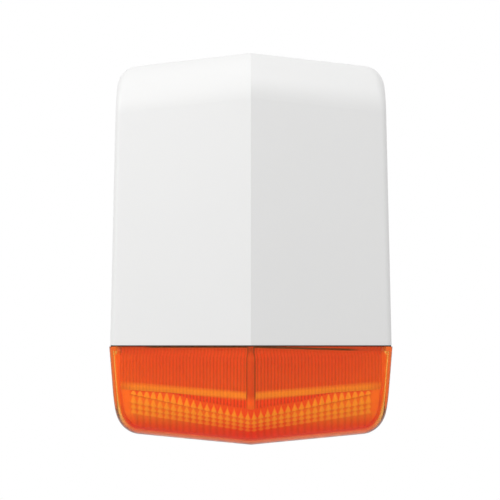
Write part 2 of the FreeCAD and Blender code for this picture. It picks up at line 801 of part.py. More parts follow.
# ---------------------------------------------------------------- backplate and hinge pins
def board_holes():
    half_across = "board_width/2-board_hole_inset"
    half_up = "board_height/2-board_hole_inset"
    return corners(f"({BOARD_LEFT}+board_width/2)", f"({BOARD_LOW}+board_height/2)", half_across,
                   half_up)


def siren_holes():
    return corners("siren_across", SIREN_Z, "siren_ear_offset", "siren_ear_offset")


def strobe_holes():
    return corners("0", STROBE_Z, "strobe_screw_across", "strobe_screw_offset")


def tray_holes():
    return corners("0", f"({TRAY_LOW}+{TRAY_LENGTH}/2)", f"{TRAY_HALF}+tray_ear_reach",
                   f"({TRAY_LENGTH}/2-tray_ear_end)")


def wall_holes():
    return corners("0", "wall_hole_offset", "wall_hole_across/2", "wall_hole_down/2")


def plate_outline(inset):
    """Right half of the backplate's outline, then its mirror, set in by a distance."""
    top = f"({TOP}-plate_top_gap-({inset}))"
    low = f"({BOTTOM}+plate_bottom_gap+({inset}))"
    top_half = f"({TOP_HALF}-plate_side_gap-({inset}))"
    seam_half = f"({SEAM_HALF}-plate_side_gap-({inset}))"
    cut_up = f"({BOTTOM}+plate_bottom_gap+plate_cut_height)"
    cut_half = f"({SEAM_HALF}-plate_side_gap-plate_cut_width)"
    cut_side = f"({seam_half}-lens_taper*({SEAM}-{cut_up})/lens_height)"
    right = [(top_half, top), (seam_half, SEAM), (cut_side, cut_up), (cut_half, low)]
    left = [(f"(-{across})", up) for across, up in reversed(right)]
    return right + left


def build_backplate():
    body = plate("plate_blank", plate_outline("0"), "0", "rim_depth")
    doc.recompute()
    floor = sketch(body, "plate_hollow_outline", "XZ_Plane", "plate_thickness")
    polygon(floor, plate_outline("rim_wall"))
    hollow = body.newObject("PartDesign::Pocket", "plate_hollow")
    hollow.Profile = floor
    hollow.Reversed = True
    bind(hollow, "Length", "rim_depth")
    doc.recompute()
    adds = []
    gone = []
    posts = [("board", board_holes(), "board_standoff"),
             ("siren", siren_holes(), "siren_flange_back-plate_thickness"),
             ("strobe", strobe_holes(), "strobe_back-plate_thickness")]
    for kind, places, high in posts:
        for number, (across, up) in enumerate(places):
            adds.append(rod(f"post_{kind}_{number}", across, "plate_thickness-1", up,
                            "standoff_radius", f"{high}+1"))
            gone.append(rod(f"pilot_{kind}_{number}", across, "1", up, "pilot_radius",
                            f"plate_thickness+{high}"))
    for number, (across, up) in enumerate(tray_holes()):
        gone.append(rod(f"pilot_tray_{number}", across, "-1", up, "pilot_radius",
                        "plate_thickness+2"))
    for number, (across, up) in enumerate(wall_holes()):
        gone.append(rod(f"wall_hole_{number}", across, "-1", up, "wall_hole_radius",
                        "plate_thickness+2"))
    gone.append(rod("cable_hole", "cable_hole_across", "-1", f"{SEAM}+cable_hole_rise",
                    "cable_hole_radius", "plate_thickness+2"))
    gone.append(rod("tamper_plate_hole", "wall_tamper_across", "-1", WALL_TAMPER_Z,
                    "wall_plunger_radius+pass_gap", "plate_thickness+2"))
    # hinge lugs
    for side in (-1, 1):
        left = f"{side}*hinge_across-lug_thickness/2"
        adds.append(box(f"hinge_stem_{side}", left, "0", f"{TOP}-plate_top_gap-stem_foot",
                        "lug_thickness", "hinge_depth+lug_radius",
                        "plate_top_gap+stem_foot-hinge_drop-lug_radius"))
        adds.append(rod(f"hinge_eye_{side}", left, "hinge_depth", HINGE_Z, "lug_radius",
                        "lug_thickness", "right"))
        adds.append(box(f"hinge_neck_{side}", left, "hinge_depth-lug_radius",
                        f"{HINGE_Z}-lug_radius-1", "lug_thickness", "2*lug_radius", "lug_radius+1"))
        gone.append(rod(f"hinge_bore_{side}", f"{left}-1", "hinge_depth", HINGE_Z,
                        "pin_radius+fit_gap", "lug_thickness+2", "right"))
    # lug that holds the lock screw's brass insert
    adds.append(box("lock_lug", "-lug_half", "0", LUG_LOW, "2*lug_half", "lug_deep", "lug_high"))
    gone.append(rod("insert_bore", "0", "lock_depth", f"{LUG_LOW}-1", "insert_radius+fit_gap",
                    "insert_length+1", "up"))
    gone.append(rod("shank_bore", "0", "lock_depth", f"{LUG_LOW}-1", "lock_screw_radius+lock_gap",
                    "lug_high+2", "up"))
    # slots in the lower rim, in line with the slots of the lens floor
    for side in (-1, 1):
        for step in range(1, 5):
            middle = f"({side}*(lug_half+{step}*rim_slot_pitch))"
            gone.append(box(f"rim_slot_{side}_{step}", f"{middle}-sound_slot_width/2",
                            "plate_thickness+1", f"{BOTTOM}+plate_bottom_gap-1",
                            "sound_slot_width", "rim_depth", "rim_wall+2"))
    blank = fuse("backplate_blank", [body] + adds)
    named(cut("backplate_solid", blank, gone), "backplate")


def build_hinge_pins():
    items = []
    length = "lug_thickness+pin_reach"
    for side in (-1, 1):
        start = "hinge_across-lug_thickness/2"
        left = start if side > 0 else f"-({start}+{length})"
        head_left = f"{start}-head_height" if side > 0 else f"-({start})"
        shaft = rod(f"pin_shaft_{side}", left, "hinge_depth", HINGE_Z, "pin_radius", length, "right")
        head = rod(f"pin_head_{side}", head_left, "hinge_depth", HINGE_Z, "head_radius",
                   "head_height", "right")
        items.append(fuse(f"pin_{side}", [shaft, head]))
    named(group("hinge_pins_group", items), "hinge_pins")


# ---------------------------------------------------------------- lock screw
def build_lock():
    insert = tube("lock_insert_tube", "0", "lock_depth", LUG_LOW, "insert_radius",
                  "lock_screw_radius+fit_gap", "insert_length", "up")
    named(insert, "lock_insert")
    seat = f"{BOTTOM}+ear_rise-ear_web"
    item = screw("lock_screw_solid", "0", "lock_depth", seat, "up", "lock_screw_length",
                 "lock_screw_radius", "lock_head_radius", "lock_head_height")
    named(item, "lock_screw")


# ---------------------------------------------------------------- battery pack
def cell_across(number):
    return f"(({number}-1.5)*{CELL_PITCH})"


def build_battery_tray():
    half = TRAY_HALF
    low = f"({TRAY_LOW}-contact_thickness-tray_wall)"
    high = f"({TRAY_LENGTH}+2*contact_thickness+2*tray_wall)"
    outer = box("tray_block", f"-{half}", "plate_thickness", low, f"2*{half}",
                "tray_rise-plate_thickness", high)
    hollow = box("tray_hollow", f"-({half}-tray_wall)", "plate_thickness+tray_floor",
                 f"{low}+tray_wall", f"2*({half}-tray_wall)", "tray_rise", f"{high}-2*tray_wall")
    adds = []
    gone = [hollow]
    for number in range(3):
        middle = f"(({number}-1)*{CELL_PITCH})"
        adds.append(box(f"tray_divider_{number}", f"{middle}-divider_width/2", "plate_thickness+1",
                        f"{low}+4*tray_wall", "divider_width", "divider_height",
                        f"{high}-8*tray_wall"))
    for number, (across, up) in enumerate(tray_holes()):
        adds.append(rod(f"tray_ear_{number}", across, "plate_thickness", up, "tray_ear_radius",
                        "tray_floor"))
        left = across if number < 2 else f"{half}-0.5"
        reach = "tray_ear_reach+0.5"
        adds.append(box(f"tray_ear_web_{number}", left, "plate_thickness",
                        f"{up}-tray_ear_web/2", reach, "tray_floor", "tray_ear_web"))
        gone.append(rod(f"tray_ear_hole_{number}", across, "0", up, "pass_radius", "tray_rise"))
    for number in (0, 3):
        gone.append(rod(f"tray_lead_hole_{number}", cell_across(number), CELL_DEPTH, f"{low}-1",
                        "terminal_radius+pass_gap", "2*tray_wall", "up"))
    for number in range(4):
        gone.append(rod(f"tray_thumb_{number}", cell_across(number), "tray_rise",
                        f"{low}+{high}-2*tray_wall", "thumb_radius", "4*tray_wall", "up"))
    shell = cut("tray_shell", outer, [hollow])
    blank = fuse("tray_blank", [shell] + adds)
    named(cut("battery_tray_solid", blank, gone[1:]), "battery_tray")


def build_battery_cells():
    """Cells stand in series, the outer left one and every second one upside down."""
    for number in range(4):
        across = cell_across(number)
        nipple_down = number % 2 == 0
        can_low = f"{TRAY_LOW}+nipple_height" if nipple_down else f"{TRAY_LOW}+spring_length"
        nipple_low = TRAY_LOW if nipple_down else f"{TRAY_LOW}+spring_length+cell_body"
        can = rod(f"cell_can_{number}", across, CELL_DEPTH, can_low, "cell_radius", "cell_body", "up")
        nipple = rod(f"cell_nipple_{number}", across, CELL_DEPTH, nipple_low, "nipple_radius",
                     "nipple_height", "up")
        named(fuse(f"cell_{number}", [can, nipple]), f"battery_cell_{number + 1}")


def build_battery_contacts():
    springs = []
    for number in range(4):
        across = cell_across(number)
        top_spring = number % 2 == 0
        low = f"{TRAY_TOP}-spring_length" if top_spring else TRAY_LOW
        wide, slim = "spring_wide*cell_radius", "spring_slim*cell_radius"
        near, far = (slim, wide) if top_spring else (wide, slim)
        outer = taper(f"spring_outer_{number}", across, CELL_DEPTH, low, near, far,
                      "spring_length", "up")
        inner = taper(f"spring_inner_{number}", across, CELL_DEPTH, low, f"{near}-spring_wire",
                      f"{far}-spring_wire", "spring_length", "up")
        springs.append(cut(f"spring_{number}", outer, [inner]))
    named(group("battery_springs_group", springs), "battery_springs")
    plates = []
    back = f"{CELL_DEPTH}-contact_width/2"
    half = "contact_width/2"
    for name, first, last, low in (("top_a", 0, 1, TRAY_TOP), ("top_b", 2, 3, TRAY_TOP),
                                   ("low_b", 1, 2, f"{TRAY_LOW}-contact_thickness")):
        left = f"{cell_across(first)}-{half}"
        wide = f"({last}-{first})*{CELL_PITCH}+contact_width"
        plates.append(box(f"contact_{name}", left, back, low, wide, "contact_width",
                          "contact_thickness"))
    for number in (0, 3):
        across = cell_across(number)
        low = f"({TRAY_LOW}-contact_thickness)"
        stem_low = f"({low}-tray_wall-terminal_reach)"
        pieces = [box(f"contact_end_{number}", f"{across}-{half}", back, low, "contact_width",
                      "contact_width", "contact_thickness"),
                  rod(f"contact_stem_{number}", across, CELL_DEPTH, stem_low, "terminal_radius",
                      f"tray_wall+terminal_reach+contact_thickness/2", "up")]
        if number == 3:
            pieces.append(rod("contact_arm", f"{across}-terminal_arm", CELL_DEPTH,
                              f"{stem_low}+terminal_radius", "0.8*terminal_radius",
                              "terminal_arm", "right"))
        plates.append(fuse(f"contact_single_{number}", pieces))
    named(group("battery_plates_group", plates), "battery_plates")


def build_tray_screws():
    seat = "plate_thickness+tray_floor"
    items = [screw(f"tray_screw_{number}", across, seat, up, "wall", f"{seat}-0.5")
             for number, (across, up) in enumerate(tray_holes())]
    named(group("battery_tray_screws_group", items), "battery_tray_screws")


# ---------------------------------------------------------------- main board
def on_board(across, up):
    """A place on the main board, from its lower left corner."""
    return f"({BOARD_LEFT}+({across}))", f"({BOARD_LOW}+({up}))"


def chip(name, across, up, wide, high, deep, back=BOARD_FRONT):
    """A block that stands on the board; the place is its lower left corner on the board."""
    left, low = on_board(across, up)
    return box(name, left, back, low, wide, deep, high)


def build_main_board():
    holes = [(across, up, "pass_radius") for across, up in board_holes()]
    body = plate("main_board_body", rectangle(BOARD_LEFT, BOARD_LOW, "board_width", "board_height"),
                 BOARD_BACK, "board_thickness", holes)
    named(body, "main_board")
    items = [screw(f"board_screw_{number}", across, BOARD_FRONT, up, "wall",
                   f"{BOARD_FRONT}-plate_thickness")
             for number, (across, up) in enumerate(board_holes())]
    named(group("board_screws_group", items), "board_screws")


def build_board_parts():
    named(chip("radio_block", "radio_across", "radio_up", "radio_width", "radio_height",
               "radio_deep"), "radio_module")
    antenna_across, antenna_up = on_board("antenna_across", "antenna_up")
    named(rod("antenna_rod", antenna_across, f"{BOARD_FRONT}+antenna_radius", antenna_up,
              "antenna_radius", "antenna_length", "up"), "helical_antenna")
    body = chip("controller_body", "chip_across", "chip_up", "chip_side", "chip_side", "chip_deep")
    pins = []
    for step in range(6):
        up = f"chip_up+chip_pin_inset+{step}*chip_pin_pitch"
        for side, left in (("left", "chip_across-chip_pin_length"),
                           ("right", "chip_across+chip_side")):
            pins.append(chip(f"controller_pin_{side}_{step}", left, up, "chip_pin_length",
                             "chip_pin_width", "chip_pin_height"))
    named(fuse("controller_solid", [body] + pins), "controller_chip")
    capacitors = []
    for number in range(2):
        across, up = on_board(f"capacitor_across+{number}*capacitor_pitch", "capacitor_up")
        capacitors.append(rod(f"capacitor_{number}", across, BOARD_FRONT, up, "capacitor_radius",
                              "capacitor_length"))
    named(group("storage_capacitors_group", capacitors), "storage_capacitors")
    led_across, led_up = on_board("status_across", "status_up")
    led_base = rod("led_base", led_across, BOARD_FRONT, led_up, "status_radius", "status_height")
    led_dome = doc.addObject("Part::Sphere", "led_dome")
    bind(led_dome, "Radius", "status_radius")
    place(led_dome, led_across, f"{BOARD_FRONT}+status_height", led_up)
    named(fuse("status_led_solid", [led_base, led_dome]), "status_led")


def build_connectors():
    """Plug blocks on the board, and one on the back of the strobe board."""
    size = ("plug_width", "plug_height", "plug_deep")
    blocks = [
        chip("plug_red", "red_plug_across", "plug_row", *size),
        chip("plug_black", "black_plug_across", "plug_row", *size),
        chip("plug_siren", "siren_plug_across", "siren_plug_up", "siren_plug_width",
             "siren_plug_height", "plug_deep"),
        chip("plug_strobe", "strobe_plug_across", "strobe_plug_up", *size),
        box("plug_strobe_board", "strobe_plug_across-board_side", "strobe_back-strobe_plug_deep",
            f"{STROBE_TOP}-plug_height", "plug_width", "strobe_plug_deep", "plug_height"),
    ]
    named(group("lead_connectors_group", blocks), "lead_connectors")


def build_dip_switch():
    housing = chip("dip_block", "dip_across", "dip_up", "dip_width", "dip_height", "dip_deep")
    slots = []
    levers = []
    slot_up = "dip_up+dip_slot_inset"
    for number in range(4):
        middle = f"dip_across+dip_width/2+({number}-1.5)*dip_pitch"
        slots.append(chip(f"dip_slot_{number}", f"{middle}-dip_slot_width/2", slot_up,
                          "dip_slot_width", "dip_slot_height", "dip_deep-slot_floor+1",
                          f"({BOARD_FRONT}+slot_floor)"))
        levers.append(chip(f"dip_lever_block_{number}", f"{middle}-dip_lever_width/2",
                           f"{slot_up}+dip_lever_rest", "dip_lever_width", "dip_lever_height",
                           "dip_lever_deep", f"({BOARD_FRONT}+slot_floor+slide_gap)"))
    named(cut("dip_switch_solid", housing, slots), "dip_switch_housing")
    for number, lever in enumerate(levers, start=1):
        named(lever, f"dip_lever_{number}")


def build_power_switch():
    block = chip("power_switch_block", "power_across", "power_up", "power_width", "power_height",
                 "power_deep")
    slot_across = "power_across+power_slot_across"
    slot_up = "power_up+power_slot_up"
    slot = chip("power_switch_slot", slot_across, slot_up, "power_slot_width", "power_slot_height",
                "power_deep-slot_floor+1", f"({BOARD_FRONT}+slot_floor)")
    named(cut("power_switch_solid", block, [slot]), "power_switch_housing")
    named(chip("power_knob", f"{slot_across}+knob_rest", f"{slot_up}+slide_gap", "knob_width",
               "power_slot_height-2*slide_gap", "knob_deep",
               f"({BOARD_FRONT}+slot_floor+slide_gap)"), "power_switch_knob")


def build_learn_button():
    across, up = on_board("learn_across", "learn_up")
    block = chip("learn_block", "learn_across-learn_side/2", "learn_up-learn_side/2", "learn_side",
                 "learn_side", "learn_deep")
    bore = rod("learn_bore", across, f"{BOARD_FRONT}+learn_floor", up, "learn_cap_radius+slide_gap",
               "learn_deep")
    named(cut("learn_button_solid", block, [bore]), "learn_button_base")
    named(rod("learn_cap", across, f"{BOARD_FRONT}+learn_cap_back", up, "learn_cap_radius",
              "learn_cap_length"), "learn_button_cap")


# ---------------------------------------------------------------- tamper switches
def build_cover_tamper():
    across = "(-tamper_across)"
    left = f"{across}-tamper_housing/2"
    low = f"{TAMPER_Z}-tamper_housing/2"
    block = box("tamper_block", left, BOARD_FRONT, low, "tamper_housing", "tamper_deep",
                "tamper_housing")
    bore = rod("tamper_bore", across, f"{BOARD_FRONT}+1", TAMPER_Z,
               "tamper_plunger_radius+slide_gap", "tamper_deep+1")
    named(cut("tamper_solid", block, [bore]), "cover_tamper_switch")
    back = f"{BOARD_FRONT}+tamper_foot"
    stem = rod("tamper_stem", across, back, TAMPER_Z, "tamper_plunger_radius",
               f"tamper_tip_depth-({back})")
    collar = rod("tamper_collar", across, "tamper_tip_depth-collar_back", TAMPER_Z,
                 "tamper_plunger_radius+collar_reach", "collar_thickness")
    named(fuse("tamper_plunger_solid", [stem, collar]), "cover_tamper_plunger")
    inside = "tamper_plunger_radius+tamper_spring_gap"
    spring = tube("tamper_spring_tube", across, f"{BOARD_FRONT}+tamper_deep", TAMPER_Z,
                  f"{inside}+tamper_spring_wire", inside,
                  f"tamper_tip_depth-collar_back-tamper_deep-{BOARD_FRONT}")
    named(spring, "cover_tamper_spring")


def build_wall_tamper():
    across = "wall_tamper_across"
    block = box("wall_tamper_block", f"{across}-wall_tamper_side/2", "plate_thickness",
                f"{WALL_TAMPER_Z}-wall_tamper_high/2", "wall_tamper_side", "wall_tamper_deep",
                "wall_tamper_high")
    bore = rod("wall_tamper_bore", across, "0", WALL_TAMPER_Z, "wall_plunger_radius+slide_gap",
               "wall_plunger_length+0.5")
    named(cut("wall_tamper_solid", block, [bore]), "wall_tamper_switch")
    named(rod("wall_plunger", across, "0", WALL_TAMPER_Z, "wall_plunger_radius",
              "wall_plunger_length"), "wall_tamper_plunger")


# ---------------------------------------------------------------- siren
def build_siren():
    flange = "siren_flange_back"
    front = f"({flange}+siren_flange_thickness)"
    mouth = f"({flange}+horn_length)"
    horn = turned("horn_turned", "siren_across", SIREN_Z, [
        ("horn_throat", flange), ("siren_flange_radius", flange), ("siren_flange_radius", front),
        ("horn_throat+3*horn_wall", front), ("horn_mouth+horn_wall", f"{mouth}-horn_wall"),
        ("horn_mouth+horn_wall", mouth), ("horn_mouth", mouth)])
    ears = [rod(f"siren_ear_{number}", across, flange, up, "siren_ear_radius",
                "siren_flange_thickness") for number, (across, up) in enumerate(siren_holes())]
    holes = [rod(f"siren_ear_hole_{number}", across, f"{flange}-1", up, "pass_radius",
                 "siren_flange_thickness+2") for number, (across, up) in enumerate(siren_holes())]
    named(cut("siren_horn_solid", fuse("siren_horn_blank", [horn] + ears), holes), "siren_horn")
    inner = "(driver_radius-driver_wall)"
    ledge = f"({inner}-driver_ledge_width)"
    cup = turned("driver_cup", "siren_across", SIREN_Z, [
        ("0", "driver_back"), ("driver_radius", "driver_back"), ("driver_radius", flange),
        (inner, flange), (inner, "driver_ledge"), (ledge, "driver_ledge"),
        (ledge, "driver_back+driver_wall"), ("0", "driver_back+driver_wall")])
    block = box("driver_terminal", "siren_across-driver_radius-terminal_block_reach",
                "driver_back+terminal_block_back", f"{SIREN_Z}-terminal_block_drop",
                "terminal_block_wide", "terminal_block_deep", "terminal_block_high")
    core = rod("driver_core", "siren_across", "driver_back", SIREN_Z, "driver_radius-1",
               "driver_ledge")
    block = cut("driver_terminal_clip", block, [core])
    named(fuse("siren_back_cover_solid", [cup, block]), "siren_back_cover")
    disc_front = "(driver_ledge+diaphragm_thickness)"
    patch_front = f"({disc_front}+disc_patch_rise)"
    disc_radius = f"({inner}-disc_gap)"
    named(turned("diaphragm_disc", "siren_across", SIREN_Z, [
        ("0", "driver_ledge"), (disc_radius, "driver_ledge"), (disc_radius, disc_front),
        ("disc_patch*driver_radius", disc_front), ("disc_patch*driver_radius", patch_front),
        ("0", patch_front)]), "siren_diaphragm")
    named(tube("siren_gasket_ring", "siren_across", disc_front, SIREN_Z, disc_radius,
               f"{disc_radius}-siren_gasket_width", f"{flange}-{disc_front}"), "siren_gasket")
    disc = rod("grille_disc", "siren_across", mouth, SIREN_Z, "horn_mouth+horn_wall",
               "grille_thickness")
    slots = []
    for step in range(-4, 5):
        high = f"{SIREN_Z}+{step}*grille_pitch-grille_slot/2"
        half = (f"sqrt(pow(horn_mouth-grille_rim; 2)"
                f"-pow({abs(step)}*grille_pitch+grille_slot/2; 2))")
        slots.append(box(f"grille_slot_{step}", f"siren_across-{half}", f"{mouth}-1", high,
                         f"2*{half}", "grille_thickness+2", "grille_slot"))
    named(cut("siren_grille_solid", disc, slots), "siren_grille")
    seat = front
    items = [screw(f"siren_screw_{number}", across, seat, up, "wall", "siren_screw_length")
             for number, (across, up) in enumerate(siren_holes())]
    named(group("siren_screws_group", items), "siren_screws")


# ---------------------------------------------------------------- strobe
def led_places():
    return [f"(({number}-2)*cup_pitch)" for number in range(5)]


def build_strobe():
    holes = [(across, up, "pass_radius") for across, up in strobe_holes()]
    outline = rectangle("-strobe_width/2", f"{STROBE_TOP}-strobe_tall", "strobe_width", "strobe_tall")
    named(plate("strobe_board_body", outline, "strobe_back", "board_thickness", holes),
          "strobe_board")
    block = box("reflector_block", "-strobe_width/2", STROBE_FRONT, f"{STROBE_TOP}-strobe_tall",
                "strobe_width", "reflector_depth", "strobe_tall")
    gone = []
    leds = []
    for number, across in enumerate(led_places()):
        gone.append(taper(f"cup_{number}", across, STROBE_FRONT, STROBE_Z, "cup_throat",
                          "cup_mouth", "reflector_depth"))
        leds.append(box(f"led_{number}", f"{across}-light_side/2", STROBE_FRONT,
                        f"{STROBE_Z}-light_side/2", "light_side", "light_height", "light_side"))
        leds.append(rod(f"led_lens_{number}", across, f"{STROBE_FRONT}+light_height", STROBE_Z,
                        "light_dome_radius", "light_dome_height"))
    for number, (across, up) in enumerate(strobe_holes()):
        gone.append(rod(f"reflector_hole_{number}", across, f"{STROBE_FRONT}-1", up, "pass_radius",
                        "reflector_depth+2"))
    named(cut("strobe_reflector_solid", block, gone), "strobe_reflector")
    pairs = [fuse(f"led_pair_{number}", leds[2 * number:2 * number + 2]) for number in range(5)]
    named(group("strobe_leds_group", pairs), "strobe_leds")
    seat = f"({STROBE_FRONT}+reflector_depth)"
    items = [screw(f"strobe_screw_{number}", across, seat, up, "wall",
                   f"{seat}-strobe_screw_end")
             for number, (across, up) in enumerate(strobe_holes())]
    named(group("strobe_screws_group", items), "strobe_screws")


# ---------------------------------------------------------------- leads
def lead(points, radius):
    """A wire through points (across, depth, up): straight runs joined by tangent arcs."""
    spots = [Vector(value(x), -value(y), value(z)) for x, y, z in points]
    edges = []
    start = spots[0]
    for before, corner, after in zip(spots, spots[1:], spots[2:]):
        way_in = (corner - before).normalize()
        way_out = (after - corner).normalize()
        turn = way_in.getAngle(way_out)
        reach = 0.45 * min((corner - before).Length, (after - corner).Length)
        bend = reach / math.tan(turn / 2)
        inner = (way_out - way_in).normalize()
        centre = corner + inner * (bend / math.cos(turn / 2))
        arc_start = corner - way_in * reach
        arc_end = corner + way_out * reach
        middle = centre - inner * bend
        edges.append(Part.LineSegment(start, arc_start).toShape())
        edges.append(Part.Arc(arc_start, middle, arc_end).toShape())
        print(f"lead bend radius {bend:.1f}")
        start = arc_end
    edges.append(Part.LineSegment(start, spots[-1]).toShape())
    path = Part.Wire(edges)
    ring = Part.Wire(Part.makeCircle(radius, spots[0], spots[1] - spots[0]))
    solid = path.makePipeShell([ring], True, False)
    ratio = solid.Volume / (math.pi * radius ** 2 * path.Length)
    print(f"lead length {path.Length:.1f}, volume ratio {ratio:.4f}")
    return solid


def wire_node(name, routes):
    item = doc.addObject("Part::Feature", name + "_wires")
    solids = [lead(route, value("lead_radius")) for route in routes]
    item.Shape = solids[0] if len(solids) == 1 else Part.makeCompound(solids)
    named(item, name)


def build_leads():
    stem_low = f"({TRAY_LOW}-contact_thickness-tray_wall-terminal_reach)"
    plug_depth = f"({BOARD_FRONT}+lead_rise)"
    plug_top = f"({BOARD_LOW}+plug_row+plug_height)"
    cell = cell_across(0)
    red = f"({BOARD_LEFT}+red_plug_across+plug_width/2)"
    wire_node("battery_lead_red", [[
        (cell, CELL_DEPTH, stem_low), (cell, CELL_DEPTH, f"{stem_low}-lead_straight"),
        (red, plug_depth, f"{plug_top}+lead_straight"), (red, plug_depth, plug_top)]])
    arm = f"({cell_across(3)}-terminal_arm)"
    arm_up = f"({stem_low}+terminal_radius)"
    black = f"({BOARD_LEFT}+black_plug_across+plug_width/2)"
    wire_node("battery_lead_black", [[
        (arm, CELL_DEPTH, arm_up), (f"{arm}-black_lead_run", CELL_DEPTH, arm_up),
        (f"{black}+black_lead_drop", f"{CELL_DEPTH}-black_lead_step", f"{arm_up}-black_lead_step"),
        (black, plug_depth, f"{plug_top}+black_lead_drop"), (black, plug_depth, plug_top)]])
    plug_right = f"({BOARD_LEFT}+siren_plug_across+siren_plug_width)"
    driver_left = "(siren_across-driver_radius-terminal_block_reach)"
    siren_routes = []
    for step in (0, 1):
        up_a = f"({BOARD_LOW}+siren_plug_up+({step}+1)*lead_spacing)"
        up_b = f"({SIREN_Z}-siren_lead_drop+{step}*lead_spacing)"
        depth = "(driver_back+terminal_block_back+terminal_block_deep/2)"
        siren_routes.append([
            (plug_right, plug_depth, up_a),
            (f"{plug_right}+({driver_left}-{plug_right})/3", plug_depth, up_a),
            (f"{plug_right}+2*({driver_left}-{plug_right})/3", depth, up_b),
            (driver_left, depth, up_b)])
    wire_node("siren_leads", siren_routes)
    strobe_routes = []
    for step in (-0.5, 0.5):
        across = f"(strobe_plug_across+plug_width/2-board_side+{step}*lead_spacing)"
        back = "(strobe_back-strobe_plug_deep/2)"
        start = f"({BOARD_LOW}+strobe_plug_up)"
        strobe_routes.append([
            (across, plug_depth, start), (across, plug_depth, f"{start}-strobe_lead_drop"),
            (across, back, f"{STROBE_TOP}+lead_straight"), (across, back, STROBE_TOP)])
    wire_node("strobe_leads", strobe_routes)


build_front_cover()
build_strobe_lens()
build_lens_gasket()
build_lens_screws()
build_backplate()
build_hinge_pins()
build_lock()
build_battery_tray()
build_battery_cells()
build_battery_contacts()
build_tray_screws()
build_main_board()
build_board_parts()
build_connectors()
build_dip_switch()
build_power_switch()
build_learn_button()
build_cover_tamper()
build_wall_tamper()
build_siren()
build_strobe()
build_leads()
doc.recompute()

# ---------------------------------------------------------------- checks and export
for item in doc.Objects:
    if "Invalid" in item.State or "Error" in item.State:
        raise RuntimeError(f"{item.Name} did not compute: {item.State}")
for item in nodes:
    if item.Shape.isNull() or not item.Shape.isValid() or not item.Shape.Solids:
        raise RuntimeError(f"{item.Label} has no valid solid")
os.makedirs("parts", exist_ok=True)
for item in nodes:
    item.Shape.exportStep(os.path.join("parts", item.Label + ".step"))
    print(item.Label, len(item.Shape.Solids), round(item.Shape.Volume))
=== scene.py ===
"""Looks of the alarm siren: materials, lens optics, coils, cells, board parts and studio."""
import json
import math

import bmesh
import bpy
from mathutils import Matrix, Vector
from mathutils.bvhtree import BVHTree


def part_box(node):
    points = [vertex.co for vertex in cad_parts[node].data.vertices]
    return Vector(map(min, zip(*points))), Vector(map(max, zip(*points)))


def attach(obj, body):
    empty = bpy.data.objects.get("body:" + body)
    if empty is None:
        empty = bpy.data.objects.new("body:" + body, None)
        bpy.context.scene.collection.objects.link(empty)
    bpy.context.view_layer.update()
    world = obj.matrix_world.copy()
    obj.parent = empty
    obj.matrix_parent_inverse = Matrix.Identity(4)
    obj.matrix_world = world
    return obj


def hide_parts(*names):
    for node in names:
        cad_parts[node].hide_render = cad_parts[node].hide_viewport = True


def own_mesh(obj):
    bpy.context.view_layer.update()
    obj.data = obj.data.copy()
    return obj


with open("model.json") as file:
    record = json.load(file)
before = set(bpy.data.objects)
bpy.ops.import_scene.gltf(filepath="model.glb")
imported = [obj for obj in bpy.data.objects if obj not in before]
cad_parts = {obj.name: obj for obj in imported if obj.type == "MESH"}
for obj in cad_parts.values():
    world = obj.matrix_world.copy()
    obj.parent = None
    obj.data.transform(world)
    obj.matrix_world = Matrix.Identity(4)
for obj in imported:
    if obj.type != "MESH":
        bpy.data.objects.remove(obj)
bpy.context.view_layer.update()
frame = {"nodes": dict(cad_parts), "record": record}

MM = 0.001
nodes = frame["nodes"]
FRONT = Matrix.Rotation(math.radians(90), 4, "X")    # turns a shape made upright to face the front
UPRIGHT = Matrix.Identity(4)
FORWARD = Vector((0, -1, 0))
TOUCHING = 1e-4                  # vertices nearer than this, in millimetres, become one


def limit(value, low=0.0, high=1.0):
    """A value held between two limits."""
    return min(max(value, low), high)


# ---------------------------------------------------------------- shader groups
def new_group(name, inputs, outputs):
    """An empty shader group with its inputs (name, kind, default) and outputs (name, kind)."""
    tree = bpy.data.node_groups.new(name, "ShaderNodeTree")
    for label, kind, default in inputs:
        socket = tree.interface.new_socket(name=label, in_out="INPUT", socket_type=kind)
        socket.default_value = default
    for label, kind in outputs:
        tree.interface.new_socket(name=label, in_out="OUTPUT", socket_type=kind)
    start = tree.nodes.new("NodeGroupInput")
    end = tree.nodes.new("NodeGroupOutput")
    return tree, start, end


def math_node(tree, operation, first, second=None, clamp=False):
    """A Math node whose two values are sockets or numbers."""
    item = tree.nodes.new("ShaderNodeMath")
    item.operation = operation
    item.use_clamp = clamp
    for slot, source in enumerate((first, second)):
        if source is None:
            continue
        if isinstance(source, (int, float)):
            item.inputs[slot].default_value = source
        else:
            tree.links.new(source, item.inputs[slot])
    return item.outputs[0]


def mix_colours(tree, factor, first, second):
    """A Mix node whose share and two colours are sockets or values."""
    item = tree.nodes.new("ShaderNodeMix")
    item.data_type = "RGBA"
    for number, source in ((0, factor), (6, first), (7, second)):
        if isinstance(source, bpy.types.NodeSocket):
            tree.links.new(source, item.inputs[number])
        else:
            item.inputs[number].default_value = source
    return item.outputs[2]


def mix_shaders(tree, factor, first, second):
    """A Mix Shader node between two shader sockets."""
    item = tree.nodes.new("ShaderNodeMixShader")
    tree.links.new(factor, item.inputs["Fac"])
    tree.links.new(first, item.inputs[1])
    tree.links.new(second, item.inputs[2])
    return item.outputs["Shader"]


def seen_rays(tree):
    """One for rays from the camera, off a gloss or through glass, and zero for the rest."""
    path = tree.nodes.new("ShaderNodeLightPath")
    total = math_node(tree, "ADD", path.outputs["Is Camera Ray"], path.outputs["Is Glossy Ray"])
    return math_node(tree, "ADD", total, path.outputs["Is Transmission Ray"], clamp=True)


